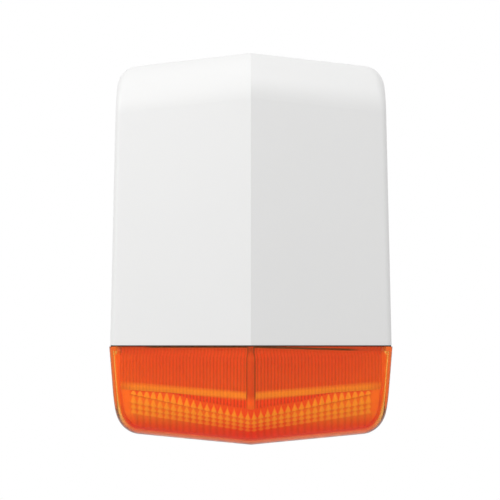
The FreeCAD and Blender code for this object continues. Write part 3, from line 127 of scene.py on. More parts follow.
def noise_node(tree, vector, scale, detail=2.0, stretch=None):
    """Noise over a place, with its scale as a socket or a number."""
    if stretch is not None:
        squash = tree.nodes.new("ShaderNodeMapping")
        squash.inputs["Scale"].default_value = stretch
        tree.links.new(vector, squash.inputs["Vector"])
        vector = squash.outputs["Vector"]
    item = tree.nodes.new("ShaderNodeTexNoise")
    item.inputs["Detail"].default_value = detail
    tree.links.new(vector, item.inputs["Vector"])
    if isinstance(scale, bpy.types.NodeSocket):
        tree.links.new(scale, item.inputs["Scale"])
    else:
        item.inputs["Scale"].default_value = scale
    return item.outputs["Fac"]


def build_surface_group():
    """Moulded or rolled surface: a slow drift of tone, a fine grain, and sparse scuffs."""
    tree, start, end = new_group(
        "worked_surface",
        [("Base", "NodeSocketColor", (0.8, 0.8, 0.8, 1)), ("Tone Depth", "NodeSocketFloat", 0.05),
         ("Tone Scale", "NodeSocketFloat", 25.0), ("Grain Scale", "NodeSocketFloat", 2500.0),
         ("Roughness", "NodeSocketFloat", 0.4), ("Roughness Drift", "NodeSocketFloat", 0.06),
         ("Scuffs", "NodeSocketFloat", 0.2)],
        [("Color", "NodeSocketColor"), ("Roughness", "NodeSocketFloat"),
         ("Height", "NodeSocketFloat")])
    place = tree.nodes.new("ShaderNodeTexCoord").outputs["Object"]
    tone = noise_node(tree, place, start.outputs["Tone Scale"], 3.0)
    drift = math_node(tree, "SUBTRACT", tone, 0.5)
    gain = math_node(tree, "MULTIPLY", drift, start.outputs["Tone Depth"])
    gain = math_node(tree, "ADD", gain, 1.0)
    scaled = tree.nodes.new("ShaderNodeVectorMath")
    scaled.operation = "SCALE"
    tree.links.new(start.outputs["Base"], scaled.inputs[0])
    tree.links.new(gain, scaled.inputs["Scale"])
    tree.links.new(scaled.outputs["Vector"], end.inputs["Color"])
    grain = noise_node(tree, place, start.outputs["Grain Scale"], 2.0)
    streak = noise_node(tree, place, 900.0, 3.0, stretch=(1.0, 1.0, 0.06))
    streak = math_node(tree, "GREATER_THAN", streak, 0.72)
    scuff = math_node(tree, "MULTIPLY", streak, start.outputs["Scuffs"])
    rough = math_node(tree, "MULTIPLY", drift, start.outputs["Roughness Drift"])
    rough = math_node(tree, "ADD", rough, start.outputs["Roughness"])
    rough = math_node(tree, "ADD", rough, math_node(tree, "MULTIPLY", scuff, 0.15), clamp=True)
    tree.links.new(rough, end.inputs["Roughness"])
    height = math_node(tree, "SUBTRACT", grain, math_node(tree, "MULTIPLY", scuff, 0.5))
    tree.links.new(height, end.inputs["Height"])
    return tree


SURFACE = build_surface_group()


GRAIN_DEPTH = 0.05 * MM
ROUGHNESS_DRIFT = 0.08


def surface_material(name, colour, roughness, metallic=0.0, tone=0.05, tone_scale=25.0,
                     grain=2500.0, bump=0.05, scuffs=0.2, **shader_values):
    """A Principled material whose colour, roughness and bump come from the surface group."""
    material = bpy.data.materials.new(name)
    material.use_nodes = True
    tree = material.node_tree
    shader = tree.nodes["Principled BSDF"]
    shader.inputs["Metallic"].default_value = metallic
    for socket, amount in shader_values.items():
        shader.inputs[socket.replace("_", " ")].default_value = amount
    work = tree.nodes.new("ShaderNodeGroup")
    work.node_tree = SURFACE
    for socket, amount in (("Base", (*colour, 1)), ("Tone Depth", tone), ("Tone Scale", tone_scale),
                           ("Grain Scale", grain), ("Roughness", roughness),
                           ("Roughness Drift", ROUGHNESS_DRIFT), ("Scuffs", scuffs)):
        work.inputs[socket].default_value = amount
    bump_node = tree.nodes.new("ShaderNodeBump")
    bump_node.inputs["Strength"].default_value = bump
    bump_node.inputs["Distance"].default_value = GRAIN_DEPTH
    tree.links.new(work.outputs["Color"], shader.inputs["Base Color"])
    tree.links.new(work.outputs["Roughness"], shader.inputs["Roughness"])
    tree.links.new(work.outputs["Height"], bump_node.inputs["Height"])
    tree.links.new(bump_node.outputs["Normal"], shader.inputs["Normal"])
    return material


def build_tracks_group():
    """Printed board: square tracks in three sizes, and small plated holes."""
    tree, _, end = new_group("board_tracks", [],
                             [("Tracks", "NodeSocketFloat"), ("Pads", "NodeSocketFloat")])
    place = tree.nodes.new("ShaderNodeTexCoord").outputs["Object"]
    flat = tree.nodes.new("ShaderNodeMapping")    # lays the pattern on boards that face front
    flat.inputs["Rotation"].default_value = (math.radians(90), 0, 0)
    tree.links.new(place, flat.inputs["Vector"])
    total = None
    for size, width, length in ((0.0021, 0.09, 6.0), (0.0047, 0.05, 2.5), (0.0089, 0.04, 1.6)):
        bricks = tree.nodes.new("ShaderNodeTexBrick")
        bricks.offset = 0.37
        bricks.inputs["Scale"].default_value = 1.0
        bricks.inputs["Mortar Size"].default_value = size * width
        bricks.inputs["Mortar Smooth"].default_value = 0.1
        bricks.inputs["Brick Width"].default_value = size * length
        bricks.inputs["Row Height"].default_value = size
        tree.links.new(flat.outputs["Vector"], bricks.inputs["Vector"])
        line = bricks.outputs["Fac"]
        total = line if total is None else math_node(tree, "MAXIMUM", total, line)
    zone = noise_node(tree, place, 90.0, 1.0)
    zone = math_node(tree, "GREATER_THAN", zone, 0.45)
    tree.links.new(math_node(tree, "MULTIPLY", total, zone), end.inputs["Tracks"])
    dots = tree.nodes.new("ShaderNodeTexVoronoi")
    dots.inputs["Scale"].default_value = 190.0
    tree.links.new(place, dots.inputs["Vector"])
    hole = math_node(tree, "LESS_THAN", dots.outputs["Distance"], 0.11)
    tree.links.new(hole, end.inputs["Pads"])
    return tree


TRACKS = build_tracks_group()


def board_material(name, mask, track, pad):
    """Solder mask over copper, with tracks that stand a little proud and bare plated holes."""
    material = surface_material(name, mask, 0.32, tone=0.06, grain=1800.0, bump=0.4, scuffs=0.1,
                                Coat_Weight=0.3)
    tree = material.node_tree
    base_colour = tree.nodes["Principled BSDF"].inputs["Base Color"]
    work = tree.nodes.new("ShaderNodeGroup")
    work.node_tree = TRACKS
    colour = base_colour.links[0].from_socket
    colour = mix_colours(tree, work.outputs["Tracks"], colour, (*track, 1))
    colour = mix_colours(tree, work.outputs["Pads"], colour, (*pad, 1))
    tree.links.new(colour, base_colour)
    bump = next(item for item in tree.nodes if item.bl_idname == "ShaderNodeBump")
    tree.links.new(work.outputs["Tracks"], bump.inputs["Height"])
    return material


LENS_AMBER = (1.0, 0.50, 0.11)
LENS_FLOOR_RED = (0.95, 0.16, 0.015, 1)
LENS_RIM_RED = (0.72, 0.03, 0.002, 1)
OPTICS_RED = (0.76, 0.036, 0.12, 1)
# vertex values of the optics and the colours that they mix in, one after the other: lift is painted
# light from below, warm is painted shine on the prisms and the stripe as well as the plain orange
# of the sides, and shade is painted shade
OPTICS_MIX = {
    "lift": (1.0, 0.045, 0.14, 1),            # red where light from below gets in
    "warm": (1.0, 0.92, 0.45, 1),             # orange where a prism shines
    "shade": (0.10, 0.01, 0.02, 1),           # dark in the grooves
}


def smooth_ramp(tree, value, low, high):
    """Zero below a low value, one above a high one, with a smooth rise between them."""
    ramp = tree.nodes.new("ShaderNodeMapRange")
    ramp.interpolation_type = "SMOOTHSTEP"
    ramp.inputs["From Min"].default_value = low
    ramp.inputs["From Max"].default_value = high
    tree.links.new(value, ramp.inputs["Value"])
    return ramp.outputs["Result"]


def vector_part(tree, vector, axis):
    """The X, Y or Z of a vector socket."""
    split = tree.nodes.new("ShaderNodeSeparateXYZ")
    tree.links.new(vector, split.inputs["Vector"])
    return split.outputs[axis]


def lens_material():
    """Clear amber, with the deeper colour of a long way through it in the floor and at the rim."""
    material = surface_material("lens_amber", LENS_AMBER, 0.04, tone=0.0, bump=0.01,
                                scuffs=0.0, Transmission_Weight=0.93, IOR=1.2)
    tree = material.node_tree
    base_colour = tree.nodes["Principled BSDF"].inputs["Base Color"]
    place = tree.nodes.new("ShaderNodeTexCoord")
    rim = smooth_ramp(tree, vector_part(tree, place.outputs["Object"], "Y"), -0.016, -0.005)
    level = math_node(tree, "ABSOLUTE", vector_part(tree, place.outputs["Normal"], "Z"))
    floor = smooth_ramp(tree, level, 0.45, 0.9)
    colour = base_colour.links[0].from_socket
    colour = mix_colours(tree, floor, colour, LENS_FLOOR_RED)
    colour = mix_colours(tree, rim, colour, LENS_RIM_RED)
    tree.links.new(colour, base_colour)
    return material


def optics_material():
    """Amber optics: red in the valleys and bright orange on the prisms, as painted light and
    painted shade from vertex values laid out along their relief, with a faint painted glow.
    """
    # painted light: a faint glow in the optics' own colour, though they are no lamp
    material = surface_material("amber_optics", OPTICS_RED[:3], 0.3, bump=0.02,
                                Specular_IOR_Level=0.2, Emission_Strength=0.16)
    tree = material.node_tree
    shader = tree.nodes["Principled BSDF"]
    colour = OPTICS_RED
    for name, other in OPTICS_MIX.items():
        value = tree.nodes.new("ShaderNodeAttribute")
        value.attribute_name = name
        colour = mix_colours(tree, value.outputs["Fac"], colour, other)
    tree.links.new(colour, shader.inputs["Base Color"])
    tree.links.new(colour, shader.inputs["Emission Color"])
    return material


# colour and roughness of each slot, and where it differs from a plain moulded surface
PLAIN_FINISHES = {
    "cover_white": ((0.87, 0.87, 0.865), 0.42,
                    {"tone": 0.015, "grain": 3000.0, "bump": 0.10, "scuffs": 0.05}),
    "seal_rubber": ((0.02, 0.02, 0.02), 0.75, {"tone": 0.2, "bump": 0.3}),
    "base_white": ((0.80, 0.80, 0.785), 0.55, {"tone": 0.03, "grain": 2200.0, "bump": 0.25}),
    "tray_black": ((0.035, 0.035, 0.038), 0.5, {"tone": 0.15, "grain": 1600.0, "bump": 0.3}),
    "screw_steel": ((0.62, 0.62, 0.64), 0.3,
                    {"metallic": 1.0, "tone": 0.15, "tone_scale": 400.0, "scuffs": 0.6}),
    "hinge_steel": ((0.68, 0.67, 0.66), 0.22, {"metallic": 1.0, "tone": 0.1, "scuffs": 0.6}),
    "insert_brass": ((0.78, 0.57, 0.26), 0.28, {"metallic": 1.0, "tone": 0.15, "scuffs": 0.5}),
    "cell_jacket": ((0.030, 0.045, 0.040), 0.28, {"tone": 0.1, "Coat_Weight": 0.5}),
    "jacket_band": ((0.50, 0.53, 0.52), 0.3, {"tone": 0.05, "Coat_Weight": 0.5}),
    "contact_nickel": ((0.72, 0.70, 0.66), 0.24,
                       {"metallic": 1.0, "tone": 0.1, "tone_scale": 300.0, "scuffs": 0.5}),
    "shield_tin": ((0.60, 0.60, 0.58), 0.36,
                   {"metallic": 1.0, "tone": 0.12, "tone_scale": 200.0, "scuffs": 0.8}),
    "antenna_copper": ((0.74, 0.33, 0.14), 0.25, {"metallic": 1.0, "tone": 0.2}),
    "chip_black": ((0.022, 0.022, 0.024), 0.6, {"tone": 0.2, "grain": 5000.0, "bump": 0.3}),
    "ceramic_tan": ((0.45, 0.30, 0.17), 0.45, {"tone": 0.1}),
    "capacitor_sleeve": ((0.02, 0.03, 0.10), 0.3, {"tone": 0.1}),
    "led_red": ((0.8, 0.02, 0.015), 0.08,
                {"tone": 0.02, "bump": 0.01, "Transmission_Weight": 0.6, "IOR": 1.5}),
    "connector_white": ((0.80, 0.78, 0.68), 0.5, {"tone": 0.05, "bump": 0.15}),
    "switch_blue": ((0.02, 0.10, 0.42), 0.45, {"tone": 0.08, "bump": 0.15}),
    "lever_white": ((0.86, 0.86, 0.84), 0.4, {"tone": 0.04}),
    "switch_black": ((0.03, 0.03, 0.03), 0.42, {"tone": 0.15, "bump": 0.15}),
    "horn_black": ((0.04, 0.04, 0.042), 0.48, {"tone": 0.12, "grain": 1500.0, "bump": 0.3}),
    "disc_brass": ((0.76, 0.57, 0.28), 0.3, {"metallic": 1.0, "tone": 0.2, "scuffs": 0.5}),
    "strobe_led": ((0.90, 0.74, 0.16), 0.35, {"tone": 0.12, "tone_scale": 900.0, "bump": 0.1}),
    "lamp_ceramic": ((0.82, 0.81, 0.76), 0.5, {"tone": 0.05, "bump": 0.1}),
    "reflector_silver": ((0.86, 0.86, 0.87), 0.10,
                         {"metallic": 1.0, "tone": 0.03, "bump": 0.02, "scuffs": 0.1}),
    "wire_red": ((0.58, 0.02, 0.02), 0.35, {"tone": 0.08, "bump": 0.08}),
    "wire_black": ((0.018, 0.018, 0.018), 0.35, {"tone": 0.1, "bump": 0.08}),
}
FINISH = {name: surface_material(name, colour, roughness, **changes)
          for name, (colour, roughness, changes) in PLAIN_FINISHES.items()}
FINISH["lens_amber"] = lens_material()
FINISH["amber_optics"] = optics_material()
FINISH["board_green"] = board_material("board_green", (0.012, 0.13, 0.045), (0.03, 0.24, 0.08),
                                       (0.70, 0.52, 0.22))
FINISH["strobe_board_white"] = board_material("strobe_board_white", (0.80, 0.81, 0.79),
                                              (0.70, 0.72, 0.69), (0.72, 0.70, 0.66))

for entry in frame["record"]["subparts"]:
    data = nodes[entry["node"]].data
    data.materials.clear()
    data.materials.append(FINISH[entry["material_slot"]])


# ---------------------------------------------------------------- making pieces
def finish_piece(mesh, name, body, slot, replaced=(), finishes=None, sharp=35.0):
    """Close a bmesh made in millimetres, and make it a piece that rides on a body."""
    bmesh.ops.remove_doubles(mesh, verts=mesh.verts, dist=TOUCHING)
    bmesh.ops.recalc_face_normals(mesh, faces=mesh.faces)
    bmesh.ops.scale(mesh, vec=(MM, MM, MM), verts=mesh.verts)
    data = bpy.data.meshes.new(name)
    mesh.to_mesh(data)
    mesh.free()
    return finish_mesh(data, name, body, slot, replaced, finishes, sharp)


def finish_mesh(data, name, body, slot, replaced=(), finishes=None, sharp=35.0):
    """Make a mesh a smooth piece with its finishes (the slot's own finish when none are given), put
    it on its body, and hide the nodes it replaces.
    """
    for finish in finishes or [slot]:
        data.materials.append(FINISH[finish])
    data.shade_smooth()
    data.set_sharp_from_angle(angle=math.radians(sharp))
    item = bpy.data.objects.new(name, data)
    bpy.context.collection.objects.link(item)
    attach(item, body)
    if replaced:
        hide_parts(*replaced)
    return item


def corners(node):
    """A node's lowest and highest corners, in millimetres."""
    low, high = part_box(node)
    return Vector(low) / MM, Vector(high) / MM


def added(items, before):
    """The vertices or faces that a mesh didn't have before."""
    return [item for item in items if item not in before]


def paint(faces, index):
    """Give faces one of their piece's finishes, by its number."""
    for face in faces:
        face.material_index = index


def block(mesh, low, high, bevel, segments=1, index=0):
    """A moulded block with rounded edges; gives back its faces."""
    low, high = Vector(low), Vector(high)
    before = set(mesh.faces)
    made = bmesh.ops.create_cube(mesh, size=1.0)["verts"]
    bmesh.ops.scale(mesh, vec=high - low, verts=made)
    bmesh.ops.translate(mesh, vec=(low + high) / 2, verts=made)
    edges = list({edge for vert in made for edge in vert.link_edges})
    bmesh.ops.bevel(mesh, geom=edges, offset=bevel, offset_type="OFFSET", segments=segments,
                    profile=0.5, affect="EDGES", material=-1, clamp_overlap=True)
    faces = added(mesh.faces, before)
    paint(faces, index)
    return faces


def sunk(mesh, faces, inset, depth, index=0):
    """Inset the face that looks to the front, and push it in."""
    face = max(faces, key=lambda item: item.normal.dot(FORWARD) * item.calc_area())
    bmesh.ops.inset_individual(mesh, faces=[face], thickness=inset, use_even_offset=True)
    made = bmesh.ops.extrude_discrete_faces(mesh, faces=[face])["faces"]
    bmesh.ops.translate(mesh, vec=-FORWARD * depth, verts=made[0].verts)
    paint(made, index)


def turned(mesh, profile, place, turn, steps, closed=False):
    """Spin a profile of (radius, height), turn it and put it in place; gives back its faces."""
    verts_before = set(mesh.verts)
    faces_before = set(mesh.faces)
    spots = [mesh.verts.new((radius, 0, height)) for radius, height in profile]
    pairs = list(zip(spots, spots[1:])) + ([(spots[-1], spots[0])] if closed else [])
    edges = [mesh.edges.new(pair) for pair in pairs]
    bmesh.ops.spin(mesh, geom=spots + edges, cent=(0, 0, 0), axis=(0, 0, 1),
                   angle=math.tau, steps=steps, use_merge=True)
    bmesh.ops.remove_doubles(mesh, verts=added(mesh.verts, verts_before), dist=TOUCHING)
    bmesh.ops.transform(mesh, matrix=Matrix.Translation(place) @ turn,
                        verts=added(mesh.verts, verts_before))
    return added(mesh.faces, faces_before)


def wire_mesh(points, radius, roundness=2):
    """A round wire along points in millimetres, as a mesh in metres."""
    curve = bpy.data.curves.new("wire", "CURVE")
    curve.dimensions = "3D"
    curve.bevel_depth = radius * MM
    curve.bevel_resolution = roundness
    curve.use_fill_caps = True
    curve.resolution_u = 3
    spline = curve.splines.new("NURBS")
    spline.points.add(len(points) - 1)
    for spot, place in zip(spline.points, points):
        spot.co = (*(Vector(place) * MM), 1)
    spline.order_u = 3
    spline.use_endpoint_u = True
    item = bpy.data.objects.new("wire", curve)
    data = bpy.data.meshes.new_from_object(item)
    bpy.data.objects.remove(item)
    bpy.data.curves.remove(curve)
    return data


def coil_points(start_radius, end_radius, length, turns, wire, steps=12):
    """Points of a coil up an axis, with a closed turn at each end."""
    total = turns + 1.5
    points = []
    for step in range(int(total * steps) + 1):
        turn = step / steps
        share = limit((turn - 0.75) / turns)
        radius = start_radius + (end_radius - start_radius) * turn / total
        height = wire / 2 + (length - wire) * share
        angle = math.tau * turn
        points.append((radius * math.cos(angle), radius * math.sin(angle), height))
    return points


def join_meshes(parts):
    """Several meshes as one bmesh, in millimetres."""
    mesh = bmesh.new()
    for data in parts:
        mesh.from_mesh(data)
        bpy.data.meshes.remove(data)
    bmesh.ops.scale(mesh, vec=(1 / MM, 1 / MM, 1 / MM), verts=mesh.verts)
    return mesh


# ---------------------------------------------------------------- lens optics
LENS_LOW = corners("strobe_lens")[0]
SEAM = corners("front_cover")[0].z
VEE = math.radians(16.5)         # each front face turns back from the ridge
KEEL_ANGLE = math.radians(4.7)   # the floor rises from the middle to each side
KEEL = math.tan(KEEL_ANGLE)
SIDE_RAKE = math.radians(5.0)    # the sides lean out towards the top
LENS_WALL = 2.5
CHIN = 27.5                      # radius of the turn from the front into the floor
CORNER = 14.5                    # radius of the turn from the floor into a side
CORNER_START = 74.0              # where that turn begins, across from the middle
LIP_ROOT = 4.4                   # below the seam, where the lens's lip begins
LIP_STEP = 2.4                   # further in, to pass behind the lip
PRISM = 4.5
FLUTE = PRISM / 2
COLUMNS = 12                     # faces across a prism
SHEET_HALF = 19.5 * PRISM
PRISM_HALF = 82.0                # the recess, the prisms and the fins fade out here
BAR_HALF = 3.3                   # smooth bar in the middle
BAR_RIM = 0.9
SHELL_GAP = 0.4                  # from the inside of the shell to the highest relief
RELIEF = 1.35
SHEET_WALL = 0.7


def floor_height(across):
    """Inside of the lens floor, with its rounded corner."""
    rise = LENS_LOW.z + LENS_WALL + KEEL * across
    if across > CORNER_START:
        reach = min(across - CORNER_START, CORNER - 0.2)
        rise += CORNER - math.sqrt(CORNER ** 2 - reach ** 2)
    return rise


def lens_place(x, z, relief):
    """A place behind the inside of the lens, nearer to it where the relief is higher."""
    across = abs(x)
    floor = floor_height(across)
    front = LENS_LOW.y + LENS_WALL / math.cos(VEE) + math.tan(VEE) * across
    turn = math.asin(limit((floor + CHIN - z) / CHIN, 0.0, 0.985))
    spot = Vector((x, front + CHIN / math.cos(VEE) * (1 - math.cos(turn)), z))
    side = -math.sin(VEE) * math.copysign(min(across / 2, 1.0), x)
    inward = Vector((side * math.cos(turn), math.cos(VEE) * math.cos(turn), math.sin(turn)))
    depth = SHELL_GAP + RELIEF - relief
    if z > SEAM - LIP_ROOT:
        depth += LIP_STEP
    return spot + inward * depth


# courses of the sheet from the top down, each with its rows of faces: five lines about the painted
# shadow under the seam, the fluted band, the bright stripe, the recess, four courses of prisms and
# the fins
COURSE_ROWS = (1, 1, 1, 1, 1, 6, 2, 3, 8, 6, 6, 5, 6)
BAND, STRIPE, RECESS, PRISMS, FINS = 5, 6, 7, 8, 12
SEAM_SHADOW_LINES = (0, 0, 1, 1, 0, 0)                # how dark the painted shadow under the seam is on each of its lines
PRISM_LINES = ((49.7, 0.2125), (52.6, 0.172), (55.0, 0.158), (57.3, 0.146))


def course_levels(x):
    """Heights of the lines that part the sheet into courses, from the top down."""
    across = abs(x)
    # height of the painted shadow line under the seam, which runs lower to the right
    seal = SEAM - 0.95 - 0.029 * max(x, 0.0)
    edge = SEAM - 34.4 + 0.0568 * across
    stripe = edge + 4.2 + 0.02 * across
    tips = min(edge - 0.25, SEAM - 42.3 + 0.155 * across + 0.12 * max(across - 34, 0.0))
    lines = [SEAM - drop + rise * across for drop, rise in PRISM_LINES]
    last = floor_height(across) + 0.5
    levels = [SEAM + 3, seal + 0.8, seal + 0.5, seal - 0.5, seal - 0.8, SEAM - 4.3, stripe, edge,
              tips, *lines, last]
    return [max(level, last + 0.25 * (len(levels) - number)) for number, level in enumerate(levels)]


def bar_relief(x, course, share):
    """Relief, warmth and darkness of the middle bar: painted shade on its edges, darker on the
    right, and painted light that grows towards its lower end.
    """
    lit = limit((course + share - STRIPE - 0.5) / 2)
    if abs(x) > BAR_HALF - BAR_RIM:
        # painted shade: the right edge darker than the left
        return 0.1, 0.05 + 0.40 * lit, (0.8 if x > 0 else 0.6) * (1 - 0.7 * lit)
    return 1.3, 0.05 + 0.40 * lit, 0.16 * (1 - 0.7 * lit)


def prism_relief(course, share, across, prism, inner, side_warm):
    """Relief, warmth and darkness of a course of prisms, each a spike that widens downwards, with
    painted light on the spikes and painted shadow under each course.
    """
    outer = min(across / 60, 1.0)
    steep = (1.7 - 1.25 * outer) if course == PRISMS else (1.0 - 0.4 * outer)
    spike = max(share ** steep - prism, 0.0)
    # painted light on the spikes, and painted shade between them
    lit = min(spike * 4, 1.0)
    between = (0.05 if course == PRISMS else 0.30) + 0.15 * outer
    low = limit((course - PRISMS - 1) / 3) * max(1 - across / 60, 0.0)
    warm = between + (1.0 - between) * lit - 0.30 * low
    warm = warm * inner + side_warm * (1 - inner)
    # painted shadow under the base line of each course
    under = 0.30 if share < 0.12 and course > PRISMS else 0.0
    return 0.2 + 1.1 * spike * inner, warm, (under + 0.12 * (1 - lit)) * inner


def course_relief(course, share, x):
    """Relief height, warmth and darkness of the sheet at a share of the way down a course; the
    warmth holds painted light and the darkness is painted shade.
    """
    across = abs(x)
    flute = 2 * abs((x / FLUTE) % 1 - 0.5)
    prism = 2 * abs((x / PRISM) % 1 - 0.5)
    inner = limit((PRISM_HALF - across) / 2.0)
    side_warm = 0.35 + 0.15 * limit((across - 70) / 20)
    # painted shade: darker in the valleys between the flutes
    valley = flute ** 3
    if across < BAR_HALF and course < PRISMS:
        return bar_relief(x, course, share)
    if course < BAND:
        # painted shadow: a dark line under the seam, fading towards the sides
        seal = SEAM_SHADOW_LINES[course + (1 if share > 0.5 else 0)]
        fade = limit((76 - across) / 10, 0.25)
        return 0.9, 0.06, max(seal * fade, 0.22 * valley)
    if course == RECESS:
        ridge = 0.2 + 0.4 * (1 - flute ** 2) * inner
        warm = side_warm if across > PRISM_HALF - 2 else 0.0
        # painted shade in the recess, darkest in its valleys
        return ridge, warm, 0.08 + 0.50 * valley * inner
    if course < PRISMS:
        height = 0.9 + 0.45 * (1 - flute ** 2) * limit((88.5 - across) / 2)
        if course == STRIPE:
            # painted light: the bright stripe, fading out towards the sides
            fade = limit((86 - across) / 8)
            return height, side_warm + (0.80 - side_warm) * fade, 0.20 * valley
        warm = 0.01 + 0.08 * share + 0.06 * limit((across - 60) / 25)
        # painted shade in the valleys of the fluted band
        return height, warm, (0.46 - 0.2 * min(across / 88, 1.0)) * valley
    if course < FINS:
        return prism_relief(course, share, across, prism, inner, side_warm)
    fin = 0.4 + 0.5 * (1 - prism ** 2) * inner
    warm = 0.05 + 0.55 * min(across / 60, 1.0)
    # painted shade between the fins
    return fin, warm, 0.04 + 0.22 * prism ** 2 * inner


def look_layers(mesh):
    """The vertex values that the colour of the optics reads: lift (painted light from below),
    warmth (with painted shine) and shade (painted shade).
    """
    return [mesh.verts.layers.float.new(name) for name in OPTICS_MIX]


def give_looks(vert, layers, *amounts):
    """Set a vertex's lift, warmth and shade."""
    for layer, amount in zip(layers, amounts):
        vert[layer] = amount


def finish_sheet(mesh, name, sharp):
    """Make a thin amber sheet in the lens a piece, with its wall grown inwards."""
    item = finish_piece(mesh, name, "cover", "lens_amber", finishes=["amber_optics"], sharp=sharp)
    wall = item.modifiers.new("wall", "SOLIDIFY")
    wall.thickness = SHEET_WALL * MM
    wall.offset = -1.0


def build_optics():
    """The lens's fluted band and prism courses, as one thin sheet just inside its front."""
    rows = [(0, 0.0)]
    for course, count in enumerate(COURSE_ROWS):
        if course > RECESS:
            rows.append((course, 0.02))
        rows += [(course, (step + 1) / count) for step in range(count)]
    columns = int(round(2 * SHEET_HALF / PRISM)) * COLUMNS
    mesh = bmesh.new()
    bmesh.ops.create_grid(mesh, x_segments=columns, y_segments=len(rows) - 1, size=1.0)
    layers = look_layers(mesh)
    for vert in mesh.verts:
        x = vert.co.x * SHEET_HALF
        course, share = rows[int(round((1 - vert.co.y) / 2 * (len(rows) - 1)))]
        levels = course_levels(x)
        z = levels[course] + (levels[course + 1] - levels[course]) * share
        relief, warm, shade = course_relief(course, share, x)
        # painted light from below: brighter red in the lower courses and beside the bar under the
        # seam
        lift = float(course > STRIPE or (course < BAND and abs(x) > BAR_HALF))
        vert.co = lens_place(x, z, relief)
        give_looks(vert, layers, lift, warm, shade)
    finish_sheet(mesh, "lens_optics", 180.0)


def rim_path():
    """Points and outward ways round the inside of the lens: one side, the floor, the other side."""
    centre = Vector((CORNER_START, floor_height(CORNER_START) + CORNER))
    up_side = Vector((math.sin(SIDE_RAKE), math.cos(SIDE_RAKE)))
    half = []
    for above_seam in (4, 1, -3, -6, -12, -20, -30):
        rise = (SEAM + above_seam - centre.y) / math.cos(SIDE_RAKE)
        half.append((centre + up_side * rise, Vector((up_side.y, -up_side.x))))
    for step in range(10):
        turn = SIDE_RAKE + (math.pi / 2 - KEEL_ANGLE - SIDE_RAKE) * step / 9
        half.append((centre, Vector((math.cos(turn), -math.sin(turn)))))
    along_floor = Vector((math.cos(KEEL_ANGLE), math.sin(KEEL_ANGLE)))
    for step in range(1, 12):
        spot = centre - along_floor * centre.x * step / 12
        half.append((spot, Vector((along_floor.y, -along_floor.x))))
    middle = (Vector((0, centre.y - centre.x * KEEL)), Vector((0, -1)))
    other = [(Vector((-spot.x, spot.y)), Vector((-way.x, way.y))) for spot, way in reversed(half)]
    return half + [middle] + other


LINER_EDGE = 24.0                # from the wall plane to the liner's edge at the sides
SLOT_CLEARANCE = 14.0            # further forward on the floor, clear of the sound slots
LINER_STEPS = 12
LINER_GAP = 0.5                  # from the inside of the shell to the liner
TUCKED_GAP = 3.0                 # where its front edge goes in behind the optics
LINER_LOOKS = (0.5, 0.22, 0.03)  # painted light from below, warmth and painted shade


def build_liner():
    """The smooth amber turn-in between the optics and the wall, round the sides and the floor."""
    lens = nodes["strobe_lens"]
    lens.data.calc_loop_triangles()
    surface = BVHTree.FromPolygons([lens.matrix_world @ vert.co for vert in lens.data.vertices],
                                   [tuple(face.vertices) for face in lens.data.loop_triangles])

    def reach(spot, way, turn):
        """Where a ray that turns from the front to a way outwards meets the shell."""
        level = limit((-way.y - 0.3) / 0.5)
        start = Vector((spot.x, -LINER_EDGE - SLOT_CLEARANCE * level, spot.y))
        along = Vector((way.x * math.sin(turn), -math.cos(turn), way.y * math.sin(turn)))
        hit, normal, _, _ = surface.ray_cast(start * MM, along)
        if normal.dot(along) > 0:
            normal = -normal
        return hit / MM, normal

    def under_sheet(place):
        """Whether the optics already cover a place on the shell."""
        across = abs(place.x)
        drop = (floor_height(min(across, SHEET_HALF)) + CHIN - place.z) / CHIN
        return across < SHEET_HALF and drop < 0.95

    mesh = bmesh.new()
    layers = look_layers(mesh)
    rows = []
    for spot, way in rim_path():
        first = 0.0
        while under_sheet(reach(spot, way, first)[0]) and first < 1.5:
            first += 0.02
        places = [(max(first - 0.03, 0.0), TUCKED_GAP)]
        for step in range(LINER_STEPS + 1):
            places.append((first + (math.pi / 2 - first) * step / LINER_STEPS, LINER_GAP))
        row = []
        for turn, gap in places:
            hit, normal = reach(spot, way, turn)
            if SEAM - LIP_ROOT - 0.5 < hit.z < SEAM - LIP_ROOT + 0.4:
                gap += LIP_STEP
            vert = mesh.verts.new(hit + normal * gap)
            give_looks(vert, layers, *LINER_LOOKS)
            row.append(vert)
        rows.append(row)
    for upper, lower in zip(rows, rows[1:]):
        for number in range(LINER_STEPS + 1):
            mesh.faces.new((upper[number], upper[number + 1], lower[number + 1], lower[number]))
    finish_sheet(mesh, "lens_liner", 60.0)


# ---------------------------------------------------------------- battery pack
# radius and height of each outline, up from the flat end
BAND_START = 38.0
CELL_CAN = [(0, 0.4), (12, 0.4), (12.6, 0), (16.2, 0), (16.9, 0.7), (16.9, 58.8), (16.0, 59.6),
            (15.2, 60), (14.4, 59.6), (14.2, 58.9), (9, 58.9), (7.5, 59.3), (4.7, 59.5),
            (4.7, 61.1), (4.3, 61.5), (0, 61.5)]
CELL_SLEEVE = [(16.95, 1.2), (17.08, 1.4), (17.08, BAND_START), (17.08, 58.4), (16.9, 59.2),
               (16.2, 59.85), (15.8, 59.98), (15.75, 59.85), (16.1, 59.7), (16.75, 59.1),
               (16.92, 58.4)]


